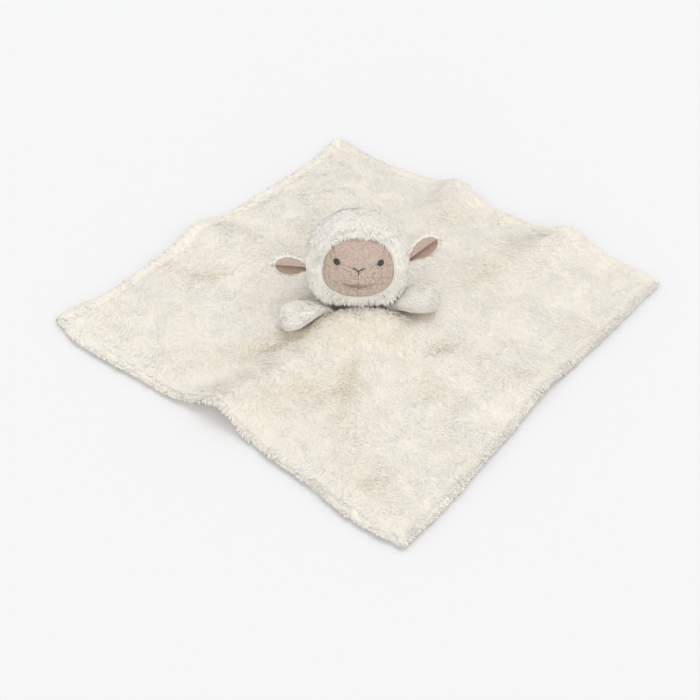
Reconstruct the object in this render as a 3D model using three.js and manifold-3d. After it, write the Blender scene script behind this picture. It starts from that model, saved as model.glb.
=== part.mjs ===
// A comfort blanket with a lamb's head, ears and arms sewn to its middle, laid out flat.
// Lengths are in millimetres. +Z is up, the lamb looks towards -Y, and the origin is under the
// blanket's centre, on the surface that it lies on. The blanket's corners point along X and Y.
import * as THREE from "three";
import { mergeVertices } from "three/addons/utils/BufferGeometryUtils.js";
import Module from "manifold-3d";

const wasm = await Module();
wasm.setup();

// Fits
const clearance = 0.3; // between pieces that touch
const fillingEase = 0.6; // between the head's filling and its covers
const weld = 0.0001; // corners closer than this are one
const overrun = 20; // how far a cutting shape runs past what it cuts

// Blanket
const blanketSide = 380;
const layerThickness = 4.4; // of each of the two plush layers
const restingCut = 0.5; // the underside is flat up to this height
const hemInset = 10; // from the edge to the line of topstitching
const hemGrooveDepth = 1.6;
const edgeDrop = 2; // rounding of each layer's outer edge
const foldHeight = 14; // lift of the highest fold
const foldWidth = 22;
const edgeWave = 8; // how far the edges wander from the square
const threadRadius = 0.5;

// Head, measured over the pile
const headHalfWidth = 44;
const headHalfDepth = 41;
const headHalfHeight = 42;
const headLeft = 5.5; // how far the head sits left of the blanket's centre
const headForward = 1.3; // and in front of it
const fleeceThickness = 6;
const faceThickness = 1.5;
const muzzleRise = 7;
const facePitch = 21.5; // degrees that the face looks up
const faceYaw = -4.5; // degrees that it is turned
const faceRoll = 2; // degrees that it leans to its right-hand side in this view

// Neck
const neckRadius = 14;
const patchThickness = 1;
const crownRadius = 6; // of the boss that the head rocks on
const crownHeight = 2;
const neckThreadRadius = 0.6;

// Face
const faceHalfWidth = 30;
const faceHalfHeight = 24;
const eyeSpread = 18.2; // from the middle of the face
const eyeHeight = 4.6; // above the middle of the face
const eyeRadius = 2.7;
const eyeDome = 1.4;
const noseDrop = 0.9; // from the middle of the face to where the nose's lines meet
const noseReach = 5.2; // of each upper line, sideways
const noseLift = 3.1; // of each upper line, upwards
const noseStem = 3.4;
const stitchWidth = 0.9;
const stitchHeight = 0.7;

// Ears
const earLength = 23.5; // from its root's middle to its tip
const earHalfWidth = 9;
const earRootRadius = 5;
const earCup = 4; // depth of the fold along its middle
const earFleece = 3;
const earLining = 1.2;
const liningInset = 1.6; // the lining's edge inside the fleece's
const liningLeastShare = 0.4; // of the fleece's width that the lining keeps near the ends
const earAngles = { left: 3, right: 38 }; // degrees above the head's own horizontal

// Arms
const armLength = 49;
const armHalfWidth = 17.4;
const armHalfThickness = 11.2;
const armFleece = 2;
const armPoses = {
  left: { rootAngle: -144, tipTurn: -26, rootReach: 32 },
  right: { rootAngle: -28, tipTurn: 30, rootReach: 24 },
};

const halfDiagonal = blanketSide / Math.SQRT2;
const blanketTop = 2 * layerThickness + clearance;
const neckCentre = new THREE.Vector3(-headLeft, -headForward, blanketTop + clearance);

// Main folds, as ridges between two points of the blanket. Points are shares of half the
// diagonal, widths of foldWidth and rises, at the two ends, of foldHeight.
const foldShares = [
  { start: [-0.16, -0.24], end: [-0.5, -0.5], width: 1, rise: [0.4, 1] },
  { start: [0.24, 0.36], end: [0.42, 0.58], width: 0.9, rise: [0.15, 0.9] },
  { start: [0.4, 0.08], end: [0.75, 0.25], width: 0.9, rise: [0.2, 0.85] },
  { start: [-0.26, 0.22], end: [-0.57, 0.43], width: 0.9, rise: [0.15, 0.65] },
  { start: [-0.03, -0.28], end: [-0.12, -0.62], width: 0.7, rise: [0.4, 0.15] },
  { start: [0.24, -0.32], end: [0.52, -0.48], width: 1.2, rise: [0.15, 0.3] },
  { start: [-0.13, -0.19], end: [0.07, -0.19], width: 0.75, rise: [1.05, 1.05] },
];

// How far each edge stands out from the square, in shares of edgeWave, at shares of its length.
// Each edge runs from the corner named first.
const edgeShares = {
  leftToFront: [[0, 0], [0.1, 0.9], [0.34, 0.3], [0.5, -0.9], [0.72, -0.2], [0.9, 0.5], [1, 0]],
  backToRight: [[0, 0], [0.15, -0.9], [0.42, 0.4], [0.6, -0.3], [0.75, 0.8], [0.93, 0.3], [1, 0]],
  leftToBack: [[0, 0], [0.15, -1.1], [0.43, -0.4], [0.6, -1], [0.86, -1.1], [1, 0]],
  frontToRight: [[0, 0], [0.12, 0.2], [0.3, -0.2], [0.52, -0.7], [0.78, -0.2], [1, 0]],
};
const edgeReachShare = 0.18; // of the side, over which an edge's wandering fades out
const flatReachShares = [1.6, 2.7]; // of the neck's radius, between which the folds fade in

const gridCells = 16; // across the blanket between its hems
const headSegments = [28, 18];
const neckSegments = 20;
const fillingSegments = [20, 12];
const eyeSegments = [10, 6];
const earColumns = 6;
const threadSides = 5;
const outlinePoints = 36;
const surfaceSteps = 30; // rounds of the search for a point on the face
const armSteps = 24; // short straight runs that an arm's bend is made of

// The muzzle, as shares of a unit direction from the head's middle
const muzzleShares = { width: 0.55, height: 0.42, drop: 0.3 };
// Height of each ear's root over the head's middle, as a share of how far out it is
const earRootShares = { left: -0.217, right: 0.06 };

// Right half of the face's outline from the top down, in shares of its half width and height
const faceOutlineShares = [
  [0, 1], [0.4, 0.94], [0.72, 0.71], [0.92, 0.3], [1, -0.22],
  [0.95, -0.62], [0.78, -0.93], [0.44, -1.09], [0, -1.13],
];
const gussetShares = { side: 0.7, top: 0.62, spread: 1.15 }; // where the forehead's seams end

// An ear's half width along its length. Its root is a half circle, so that it turns in its seat.
const earWidthShares = [
  [0, 0.1], [0.03, 0.33], [0.08, 0.485], [0.16, 0.555], [0.35, 0.9], [0.52, 1], [0.7, 0.87],
  [0.86, 0.55], [1, 0.12],
];
const earRowShares = [0, 0.03, 0.08, 0.16, 0.28, 0.4, 0.52, 0.64, 0.76, 0.88, 0.95, 1];
const earThinningShare = 0.4; // of its thickness that the ear loses at its edges
const armWidthShares = [
  [0, 0.42], [0.15, 0.66], [0.35, 0.88], [0.6, 1], [0.74, 0.98], [0.86, 0.84], [0.95, 0.56],
  [1, 0.2],
];
const armThicknessShares = [
  [0, 0.3], [0.2, 0.38], [0.4, 0.64], [0.66, 1], [0.8, 0.95], [0.93, 0.65], [1, 0.3],
];
const armRingShares = [0, 0.12, 0.28, 0.45, 0.6, 0.75, 0.88, 0.96, 1];
const armSides = 10;

// Value of a table of [place, value] rows at a place, with smooth steps between its rows.
function tableAt(table, place) {
  const next = Math.max(1, table.findIndex(([at]) => at >= place));
  const [[from, low], [to, high]] = [table[next - 1], table[next]];
  return THREE.MathUtils.lerp(low, high, THREE.MathUtils.smoothstep(place, from, to));
}

// A closed geometry from its corners and triangles, turned to face outwards.
function closedGeometry(points, faces) {
  const six = faces.reduce((sum, [a, b, c]) => {
    return sum + points[a].dot(points[b].clone().cross(points[c]));
  }, 0);
  const outward = six > 0 ? faces : faces.map(([a, b, c]) => [a, c, b]);
  return new THREE.BufferGeometry().setFromPoints(points).setIndex(outward.flat());
}

// A sheet between two grids of points: low(i, j) and high(i, j).
function slab(rows, columns, low, high) {
  const points = [];
  for (const face of [low, high])
    for (let i = 0; i <= rows; i++)
      for (let j = 0; j <= columns; j++) points.push(face(i, j));
  const at = (i, j, k) => (k * (rows + 1) + i) * (columns + 1) + j;
  const faces = [];
  const quad = (a, b, c, d) => faces.push([a, b, c], [a, c, d]);
  for (let i = 0; i < rows; i++)
    for (let j = 0; j < columns; j++) {
      quad(at(i, j, 0), at(i, j + 1, 0), at(i + 1, j + 1, 0), at(i + 1, j, 0));
      quad(at(i, j, 1), at(i + 1, j, 1), at(i + 1, j + 1, 1), at(i, j + 1, 1));
    }
  for (let i = 0; i < rows; i++) {
    quad(at(i, 0, 0), at(i + 1, 0, 0), at(i + 1, 0, 1), at(i, 0, 1));
    quad(at(i + 1, columns, 0), at(i, columns, 0), at(i, columns, 1), at(i + 1, columns, 1));
  }
  for (let j = 0; j < columns; j++) {
    quad(at(0, j + 1, 0), at(0, j, 0), at(0, j, 1), at(0, j + 1, 1));
    quad(at(rows, j, 0), at(rows, j + 1, 0), at(rows, j + 1, 1), at(rows, j, 1));
  }
  return closedGeometry(points, faces);
}

// A closed skin over rings of points, with a fan over each end, or joined end to end.
function loft(rings, joined = false) {
  const sides = rings[0].length;
  const points = rings.flat();
  const faces = [];
  const spans = joined ? rings.length : rings.length - 1;
  for (let r = 0; r < spans; r++)
    for (let k = 0; k < sides; k++) {
      const [near, far] = [r * sides, ((r + 1) % rings.length) * sides];
      const after = (k + 1) % sides;
      faces.push([near + k, near + after, far + after], [near + k, far + after, far + k]);
    }
  if (!joined)
    for (const [start, turned] of [[0, true], [(rings.length - 1) * sides, false]]) {
      const middle = new THREE.Vector3();
      for (let k = 0; k < sides; k++) middle.addScaledVector(points[start + k], 1 / sides);
      const tip = points.push(middle) - 1;
      for (let k = 0; k < sides; k++) {
        const [a, b] = [start + k, start + ((k + 1) % sides)];
        faces.push(turned ? [tip, b, a] : [tip, a, b]);
      }
    }
  return closedGeometry(points, faces);
}

function solidOf(geometry) {
  const bare = geometry.index ? geometry.toNonIndexed() : geometry.clone();
  bare.deleteAttribute("normal");
  bare.deleteAttribute("uv");
  const merged = mergeVertices(bare, weld);
  return new wasm.Manifold(
    new wasm.Mesh({
      numProp: 3,
      vertProperties: merged.getAttribute("position").array,
      triVerts: new Uint32Array(merged.index.array),
    }),
  );
}

function geometryOf(solid) {
  const mesh = solid.getMesh();
  return new THREE.BufferGeometry()
    .setAttribute("position", new THREE.BufferAttribute(mesh.vertProperties, 3))
    .setIndex(new THREE.BufferAttribute(mesh.triVerts, 1));
}

// Lift of the whole blanket over the folds. It stays flat where the head is sewn on.
function foldLift(x, y) {
  const place = new THREE.Vector2(x, y);
  let lift = 0;
  for (const fold of foldShares) {
    const start = new THREE.Vector2(...fold.start).multiplyScalar(halfDiagonal);
    const run = new THREE.Vector2(...fold.end).multiplyScalar(halfDiagonal).sub(start);
    const along = THREE.MathUtils.clamp(place.clone().sub(start).dot(run) / run.lengthSq(), 0, 1);
    const away = place.distanceTo(start.clone().addScaledVector(run, along));
    const rise = THREE.MathUtils.lerp(...fold.rise, along) * foldHeight;
    lift = Math.hypot(lift, rise * Math.exp(-((away / (fold.width * foldWidth)) ** 2)));
  }
  const fromNeck = Math.hypot(x - neckCentre.x, y - neckCentre.y);
  const [flat, free] = flatReachShares.map((share) => share * neckRadius);
  return lift * THREE.MathUtils.smoothstep(fromNeck, flat, free);
}

// Grid lines across the blanket, as distances from an edge: close together at the hems.
const inner = blanketSide - 4 * hemInset;
const gridLines = [0, hemInset / 2, hemInset];
for (let k = 0; k <= gridCells; k++) gridLines.push(2 * hemInset + (inner * k) / gridCells);
gridLines.push(blanketSide - hemInset, blanketSide - hemInset / 2, blanketSide);
const hemLine = 2; // index of the line of topstitching
const lastLine = gridLines.length - 1;

// Place in plan of the point that lies a from the left-back edge and b from the left-front one.
function planPoint(a, b) {
  const [s, t] = [a / blanketSide, b / blanketSide];
  const fade = (distance) => {
    return Math.max(0, 1 - distance / (edgeReachShare * blanketSide)) ** 2 * edgeWave;
  };
  const towardsRightFront =
    fade(blanketSide - a) * tableAt(edgeShares.frontToRight, t) -
    fade(a) * tableAt(edgeShares.leftToBack, t);
  const towardsRightBack =
    fade(blanketSide - b) * tableAt(edgeShares.backToRight, s) -
    fade(b) * tableAt(edgeShares.leftToFront, s);
  const [p, q] = [
    (a + towardsRightFront) / Math.SQRT2,
    (b + towardsRightBack) / Math.SQRT2,
  ];
  return new THREE.Vector2(p + q - halfDiagonal, q - p);
}

// How far a layer's outer face is drawn in, at a distance from the nearest edge.
function hemRelief(fromEdge) {
  const table = [
    [0, edgeDrop], [hemInset / 2, 0], [hemInset, hemGrooveDepth], [2 * hemInset, 0],
    [blanketSide, 0],
  ];
  return tableAt(table, fromEdge);
}

// One grid point of the blanket at a height worked out from its lift and the hem's relief.
function blanketPoint(i, j, heightOf) {
  const [a, b] = [gridLines[i], gridLines[j]];
  const fromEdge = Math.min(a, b, blanketSide - a, blanketSide - b);
  const plan = planPoint(a, b);
  return new THREE.Vector3(plan.x, plan.y, heightOf(foldLift(plan.x, plan.y), hemRelief(fromEdge)));
}

const undersideLow = (lift, relief) => Math.max(0, lift - restingCut) + relief;
const undersideHigh = (lift) => lift + layerThickness;
const topLow = (lift) => lift + layerThickness + clearance;
const topHigh = (lift, relief) => lift + blanketTop - relief;

function blanketLayer(lowOf, highOf) {
  const low = (i, j) => blanketPoint(i, j, lowOf);
  const high = (i, j) => blanketPoint(i, j, highOf);
  return slab(lastLine, lastLine, low, high);
}

// A stitched thread round the hem, at a height over the grid's corners on the hem line.
function hemThread(heightOf) {
  const [near, far] = [hemLine, lastLine - hemLine];
  const loop = [];
  for (let k = near; k < far; k++) loop.push([k, near]);
  for (let k = near; k < far; k++) loop.push([far, k]);
  for (let k = far; k > near; k--) loop.push([k, far]);
  for (let k = far; k > near; k--) loop.push([near, k]);
  const points = loop.map(([i, j]) => blanketPoint(i, j, heightOf));
  const up = new THREE.Vector3(0, 0, threadRadius);
  const rings = points.map((point, k) => {
    const before = points.at(k - 1).clone().sub(point).normalize();
    const after = points[(k + 1) % points.length].clone().sub(point).normalize();
    const side = after.sub(before).cross(up).setLength(threadRadius);
    return [up, side, up.clone().negate(), side.clone().negate()].map((d) => point.clone().add(d));
  });
  return loft(rings, true);
}

const aboveHem = threadRadius + clearance;
const needleHeight = (lift, relief) => topHigh(lift, relief) + aboveHem;
const bobbinHeight = (lift, relief) => undersideLow(lift, relief) - aboveHem;

// Distance from the head's middle to its surface, in a unit direction. The muzzle swells it.
function formReach(direction, offset) {
  const reach =
    1 /
    Math.hypot(
      direction.x / headHalfWidth,
      direction.y / headHalfDepth,
      direction.z / headHalfHeight,
    );
  const across = direction.x / muzzleShares.width;
  const above = (direction.z + muzzleShares.drop) / muzzleShares.height;
  const front = Math.max(0, -direction.y);
  return reach + offset + front * muzzleRise * Math.exp(-(across ** 2) - above ** 2);
}

// The head's form as a closed ball, offset from its surface. Its poles are front and back.
function ball(offset, [around, along] = headSegments) {
  const geometry = new THREE.SphereGeometry(1, around, along);
  const position = geometry.getAttribute("position");
  const point = new THREE.Vector3();
  for (let k = 0; k < position.count; k++) {
    point.fromBufferAttribute(position, k).normalize();
    point.setLength(formReach(point, offset));
    position.setXYZ(k, point.x, point.y, point.z);
  }
  return solidOf(geometry);
}

// Point of the form in front of a place in the face's own plane, x across and z up.
function facePoint(x, z, offset) {
  const point = new THREE.Vector3(x, -headHalfDepth, z);
  for (let k = 0; k < surfaceSteps; k++) {
    const reach = formReach(point.clone().normalize(), offset);
    point.y = -Math.sqrt(Math.max(0, reach ** 2 - x ** 2 - z ** 2));
  }
  return point;
}

// A flat outline in the face's plane, carried from the head's middle out through its front.
function throughFace(outline) {
  const depth = headHalfDepth + muzzleRise + overrun;
  const shape = new THREE.Shape(outline);
  const geometry = new THREE.ExtrudeGeometry(shape, { depth, bevelEnabled: false });
  return solidOf(geometry.rotateX(Math.PI / 2));
}

function faceOutline(margin) {
  const right = faceOutlineShares.map(([x, z]) => {
    return new THREE.Vector2(x * faceHalfWidth, z * faceHalfHeight);
  });
  const left = right.slice(1, -1).reverse().map((p) => new THREE.Vector2(-p.x, p.y));
  const points = [...right, ...left].map((p) => p.clone().setLength(p.length() + margin));
  const curve = new THREE.CatmullRomCurve3(
    points.map((p) => new THREE.Vector3(p.x, p.y, 0)),
    true,
  );
  const flat = curve.getPoints(outlinePoints).slice(0, -1);
  return flat.map((p) => new THREE.Vector2(p.x, p.y));
}

// The forehead's panel: down from the brow past both eyes to a point at the nose.
function gussetOutline(margin) {
  const brow = faceHalfHeight + overrun;
  const half = [
    [eyeSpread, eyeHeight],
    [gussetShares.side * faceHalfWidth, gussetShares.top * faceHalfHeight],
    [gussetShares.spread * gussetShares.side * faceHalfWidth, brow],
  ];
  const right = half.map(([x, z]) => new THREE.Vector2(x + margin, z - margin));
  const left = [...right].reverse().map((p) => new THREE.Vector2(-p.x, p.y));
  return [new THREE.Vector2(0, -noseDrop - margin), ...right, ...left];
}

// Everything on one side of the head's middle plane, -1 left or 1 right, less half a seam.
function besideMiddle(side) {
  const size = 2 * (headHalfWidth + overrun);
  const box = new THREE.BoxGeometry(size, size, size);
  return solidOf(box.translate((side * (size + clearance)) / 2, 0, 0));
}

// The head's pieces are made about its own middle, with the face towards -Y.
const turn = new THREE.Euler(
  THREE.MathUtils.degToRad(-facePitch),
  THREE.MathUtils.degToRad(faceRoll),
  THREE.MathUtils.degToRad(faceYaw),
  "ZXY",
);
const headTurn = new THREE.Quaternion().setFromEuler(turn);
const down = new THREE.Vector3(0, 0, -1).applyQuaternion(headTurn.clone().invert());
const crownTop = neckCentre.z + patchThickness + crownHeight;
const headCentre = neckCentre.clone().setZ(crownTop + clearance + formReach(down, 0));

// A round bar straight down from the head's middle, where the neck is.
function neckBar(radius) {
  const length = 2 * (headHalfHeight + overrun);
  const bar = new THREE.CylinderGeometry(radius, radius, length, neckSegments);
  const upright = new THREE.Quaternion().setFromUnitVectors(new THREE.Vector3(0, 1, 0), down);
  const middle = down.clone().multiplyScalar(length / 2);
  return solidOf(bar.applyQuaternion(upright).translate(middle.x, middle.y, middle.z));
}

const faceOffset = faceThickness - fleeceThickness; // of the face's surface under the pile
const inside = ball(-fleeceThickness);
const shell = ball(0).subtract(inside);
const hood = shell.subtract(throughFace(faceOutline(clearance))).subtract(neckBar(neckRadius));
const faceShell = ball(faceOffset).subtract(inside).intersect(throughFace(faceOutline(0)));
const cheeks = faceShell.subtract(throughFace(gussetOutline(clearance)));
const onFace = ball(faceOffset + clearance);

function eye(side) {
  const middle = facePoint(side * eyeSpread, eyeHeight, faceOffset + clearance);
  const dome = new THREE.SphereGeometry(1, ...eyeSegments).scale(eyeRadius, eyeDome, eyeRadius);
  const facing = new THREE.Quaternion().setFromUnitVectors(
    new THREE.Vector3(0, 1, 0),
    middle.clone().normalize(),
  );
  dome.applyQuaternion(facing).translate(middle.x, middle.y, middle.z);
  return solidOf(dome).subtract(onFace);
}

// The nose: two lines down to a meeting point and a short stem, stitched on the face.
function nose() {
  const meeting = new THREE.Vector2(0, -noseDrop);
  const ends = [
    new THREE.Vector2(-noseReach, noseLift - noseDrop),
    new THREE.Vector2(noseReach, noseLift - noseDrop),
    new THREE.Vector2(0, -noseDrop - noseStem),
  ];
  const lines = ends.map((end) => {
    const along = end.clone().sub(meeting).setLength(stitchWidth / 2);
    const across = new THREE.Vector2(-along.y, along.x);
    const back = meeting.clone().sub(along);
    return throughFace([
      back.clone().sub(across), end.clone().sub(across), end.clone().add(across),
      back.clone().add(across),
    ]);
  });
  const raised = ball(faceOffset + clearance + stitchHeight).subtract(onFace);
  return raised.intersect(lines[0].add(lines[1]).add(lines[2]));
}

// One layer of an ear, between two depths behind the front of the lining. Inset draws its
// edge in. Its length runs from behind the root's middle to the tip.
function earLayer(side, frontDepth, backDepth, inset) {
  const name = side < 0 ? "left" : "right";
  const rootDirection = new THREE.Vector3(side, 0, earRootShares[name]).normalize();
  const root = rootDirection.clone().setLength(
    formReach(rootDirection, clearance + earRootRadius),
  );
  const angle = THREE.MathUtils.degToRad(earAngles[name]);
  const along = new THREE.Vector3(side * Math.cos(angle), 0, Math.sin(angle));
  const across = new THREE.Vector3(-side * Math.sin(angle), 0, Math.cos(angle));
  const full = earLength + earRootRadius;
  const pointAt = (i, j, depthOf) => {
    const share = earRowShares[i];
    const half = earHalfWidth * tableAt(earWidthShares, share);
    const sideways = (2 * j) / earColumns - 1;
    const run = inset + share * (full - 2 * inset) - earRootRadius;
    const width = sideways * Math.max(half - inset, half * liningLeastShare);
    const cup = earCup * Math.sin(Math.PI * share) * (1 - Math.abs(sideways));
    return root.clone()
      .addScaledVector(along, run)
      .addScaledVector(across, width)
      .setY(cup + depthOf(sideways) - earLining);
  };
  const front = (i, j) => pointAt(i, j, () => frontDepth);
  const thinned = (sideways) => {
    return THREE.MathUtils.lerp(backDepth, frontDepth, earThinningShare * sideways ** 2);
  };
  const back = (i, j) => pointAt(i, j, thinned);
  return slab(earRowShares.length - 1, earColumns, back, front);
}

// An arm's rings from its root by the neck to its paw, drawn in by a margin all round. They
// follow the blanket's folds.
function armRings(pose, margin) {
  const turned = (share) => {
    return THREE.MathUtils.degToRad(pose.rootAngle + pose.tipTurn * share);
  };
  const middleAt = (share) => {
    const root = turned(0);
    const point = new THREE.Vector2(Math.cos(root), Math.sin(root)).multiplyScalar(pose.rootReach);
    for (let k = 0; k < armSteps; k++) {
      const heading = turned((share * (k + 0.5)) / armSteps);
      const step = (armLength * share) / armSteps;
      point.add(new THREE.Vector2(Math.cos(heading), Math.sin(heading)).multiplyScalar(step));
    }
    return point;
  };
  return armRingShares.map((ringShare) => {
    const share = THREE.MathUtils.lerp(margin / armLength, 1 - margin / armLength, ringShare);
    const halfWidth = armHalfWidth * tableAt(armWidthShares, ringShare) - margin;
    const halfThickness = armHalfThickness * tableAt(armThicknessShares, ringShare);
    const middle = middleAt(share);
    const heading = turned(share);
    return Array.from({ length: armSides }, (_, k) => {
      const angle = (2 * Math.PI * k) / armSides;
      const sideways = halfWidth * Math.cos(angle);
      const x = neckCentre.x + middle.x - Math.sin(heading) * sideways;
      const y = neckCentre.y + middle.y + Math.cos(heading) * sideways;
      const rise = halfThickness + (halfThickness - margin) * Math.sin(angle);
      return new THREE.Vector3(x, y, neckCentre.z + foldLift(x, y) + rise);
    });
  });
}

// The half of space above or below an arm's side seam, which follows the arm's middle.
function besideSeam(pose, above) {
  const rings = armRings(pose, 0);
  const sign = above ? 1 : -1;
  const stations = [rings[0], ...rings, rings.at(-1)];
  const reachOut = (i) => (i === 0 ? -overrun : i === stations.length - 1 ? overrun : 0);
  const pointAt = (i, j, rise) => {
    const ring = stations[i];
    const [left, right] = [ring[0], ring[armSides / 2]];
    const across = left.clone().sub(right).setZ(0).normalize();
    const forward = new THREE.Vector3(across.y, -across.x, 0);
    return left.clone().add(right).multiplyScalar(0.5)
      .addScaledVector(across, (2 * j - 1) * overrun)
      .addScaledVector(forward, reachOut(i))
      .add(new THREE.Vector3(0, 0, rise));
  };
  const near = (i, j) => pointAt(i, j, (sign * clearance) / 2);
  const far = (i, j) => pointAt(i, j, sign * 2 * overrun);
  return solidOf(slab(stations.length - 1, 1, near, far));
}

const group = new THREE.Group();
const headGroup = new THREE.Group();
headGroup.position.copy(headCentre);
headGroup.quaternion.copy(headTurn);
group.add(headGroup);

const finishes = {
  plush: { color: 0xf3ece0, roughness: 1 },
  fleece: { color: 0xf4f1ea, roughness: 1 },
  velour: { color: 0xb9a396, roughness: 0.9 },
  brow: { color: 0xbfa69b, roughness: 0.9 },
  stitching: { color: 0x4a4440, roughness: 0.6 },
  seamThread: { color: 0xe9e1d3, roughness: 0.8 },
  filling: { color: 0xfafafa, roughness: 1 },
  backing: { color: 0xe8e2d8, roughness: 1 },
};

function addPiece(parent, name, geometry, finish) {
  const material = new THREE.MeshStandardMaterial({ ...finishes[finish], metalness: 0 });
  const mesh = new THREE.Mesh(geometry, material);
  mesh.name = name;
  parent.add(mesh);
}

addPiece(group, "blanket_underside_panel", blanketLayer(undersideLow, undersideHigh), "plush");
addPiece(group, "blanket_top_panel", blanketLayer(topLow, topHigh), "plush");
addPiece(group, "hem_needle_thread", hemThread(needleHeight), "seamThread");
addPiece(group, "hem_bobbin_thread", hemThread(bobbinHeight), "seamThread");

const patchProfile = [
  [0, 0], [neckRadius, 0], [neckRadius, patchThickness], [crownRadius, patchThickness],
  [0, patchThickness + crownHeight],
].map(([x, y]) => new THREE.Vector2(x, y));
const patch = new THREE.LatheGeometry(patchProfile, neckSegments).rotateX(Math.PI / 2);
const neckGroup = new THREE.Group();
neckGroup.position.copy(neckCentre);
group.add(neckGroup);
addPiece(neckGroup, "neck_patch", geometryOf(solidOf(patch)), "backing");
const neckRing = new THREE.TorusGeometry(
  neckRadius + clearance + neckThreadRadius, neckThreadRadius, threadSides, neckSegments,
);
addPiece(neckGroup, "neck_seam_thread", neckRing.translate(0, 0, neckThreadRadius), "seamThread");

for (const [name, side] of [["left", -1], ["right", 1]]) {
  const half = besideMiddle(side);
  addPiece(headGroup, `head_fleece_${name}`, geometryOf(hood.intersect(half)), "fleece");
  addPiece(headGroup, `face_cheek_${name}`, geometryOf(cheeks.intersect(half)), "velour");
  addPiece(headGroup, `eye_${name}`, geometryOf(eye(side)), "stitching");
  const fleeceFront = earLining + clearance;
  const fleece = earLayer(side, fleeceFront, fleeceFront + earFleece, 0);
  addPiece(headGroup, `ear_${name}_fleece`, fleece, "fleece");
  addPiece(headGroup, `ear_${name}_lining`, earLayer(side, 0, earLining, liningInset), "velour");
}
const brow = faceShell.intersect(throughFace(gussetOutline(0)));
addPiece(headGroup, "face_forehead", geometryOf(brow), "brow");
addPiece(headGroup, "nose_embroidery", geometryOf(nose()), "stitching");
const disc = shell.intersect(neckBar(neckRadius - clearance));
addPiece(headGroup, "neck_disc", geometryOf(disc), "backing");
const headFilling = ball(-fleeceThickness - fillingEase, fillingSegments);
addPiece(headGroup, "head_filling", geometryOf(headFilling), "filling");

// What an arm is cut clear of: the blanket's top, and the head over it.
const underArms = solidOf(
  blanketLayer(
    () => -overrun,
    (lift, relief) => topHigh(lift, relief) + clearance,
  ),
);
const placeHead = new THREE.Matrix4().compose(headCentre, headTurn, new THREE.Vector3(1, 1, 1));
const overArms = solidOf(geometryOf(ball(clearance)).applyMatrix4(placeHead));
for (const [name, pose] of Object.entries(armPoses)) {
  const outer = solidOf(loft(armRings(pose, 0))).subtract(underArms).subtract(overArms);
  const skin = outer.subtract(solidOf(loft(armRings(pose, armFleece))));
  const filling = solidOf(loft(armRings(pose, armFleece + clearance)));
  const [upper, lower] = [true, false].map((above) => skin.intersect(besideSeam(pose, above)));
  addPiece(group, `arm_${name}_upper`, geometryOf(upper), "fleece");
  addPiece(group, `arm_${name}_lower`, geometryOf(lower), "fleece");
  addPiece(group, `arm_${name}_filling`, geometryOf(filling), "filling");
}

export default group;
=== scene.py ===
import math

import bpy
import numpy as np
from mathutils import Matrix, Vector, noise


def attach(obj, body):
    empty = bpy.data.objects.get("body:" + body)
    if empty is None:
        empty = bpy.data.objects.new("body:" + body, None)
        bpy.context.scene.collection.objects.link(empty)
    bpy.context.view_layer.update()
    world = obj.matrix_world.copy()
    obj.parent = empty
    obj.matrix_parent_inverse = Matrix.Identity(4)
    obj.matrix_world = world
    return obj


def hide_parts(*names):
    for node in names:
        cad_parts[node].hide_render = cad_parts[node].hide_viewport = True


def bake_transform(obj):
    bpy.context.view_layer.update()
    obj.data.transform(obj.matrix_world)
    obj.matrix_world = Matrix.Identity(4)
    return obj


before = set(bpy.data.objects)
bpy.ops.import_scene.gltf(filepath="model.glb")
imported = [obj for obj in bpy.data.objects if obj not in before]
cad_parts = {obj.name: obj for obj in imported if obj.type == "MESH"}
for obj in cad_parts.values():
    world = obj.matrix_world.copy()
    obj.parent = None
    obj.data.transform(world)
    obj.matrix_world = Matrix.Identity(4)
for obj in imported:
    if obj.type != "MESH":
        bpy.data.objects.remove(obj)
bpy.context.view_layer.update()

# The view that the photograph was taken from. Lengths are in metres all through.
view = {
    "lens": 54.43, "sensor": 36.0, "azimuth": -5.40, "elevation": 42.78, "distance": 0.8977,
    "lookAt": (-0.01756, -0.05938, 0.0), "clip": (0.01, 50.0),
}


def addCamera():
    azimuth, elevation = math.radians(view["azimuth"]), math.radians(view["elevation"])
    back = Vector((
        math.sin(azimuth) * math.cos(elevation),
        -math.cos(azimuth) * math.cos(elevation),
        math.sin(elevation),
    ))
    bpy.ops.object.camera_add()
    camera = bpy.context.object
    camera.data.lens, camera.data.sensor_width = view["lens"], view["sensor"]
    camera.location = Vector(view["lookAt"]) + back * view["distance"]
    camera.rotation_mode = "QUATERNION"
    camera.rotation_quaternion = (-back).to_track_quat("-Z", "Y")
    camera.data.clip_start, camera.data.clip_end = view["clip"]
    bpy.context.scene.camera = camera


addCamera()


# Small helpers for modelling by hand

def setMode(mode):
    bpy.ops.object.mode_set(mode=mode)


def deselectAll():
    if bpy.context.mode != "OBJECT":
        setMode("OBJECT")
    bpy.ops.object.select_all(action="DESELECT")


def pick(thing):
    deselectAll()
    thing.select_set(True)
    bpy.context.view_layer.objects.active = thing


def named(name):
    thing = bpy.context.object
    thing.name = thing.data.name = name
    return thing


def readAll(items, what, kind=float):
    values = np.zeros(len(items) * 3, dtype=kind)
    items.foreach_get(what, values)
    return values.reshape(-1, 3)


def placesOf(thing):
    return readAll(thing.data.vertices, "co")


def normalsOf(thing):
    return readAll(thing.data.vertices, "normal")


def setPlaces(thing, places):
    thing.data.vertices.foreach_set("co", np.asarray(places).ravel())
    thing.data.update()


def applyAll(thing):
    pick(thing)
    for modifier in list(thing.modifiers):
        bpy.ops.object.modifier_apply(modifier=modifier.name)


def modify(thing, kind, **settings):
    modifier = thing.modifiers.new(kind.lower(), kind)
    for label, value in settings.items():
        setattr(modifier, label, value)
    applyAll(thing)


def smooth(thing):
    pick(thing)
    bpy.ops.object.shade_smooth()


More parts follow.
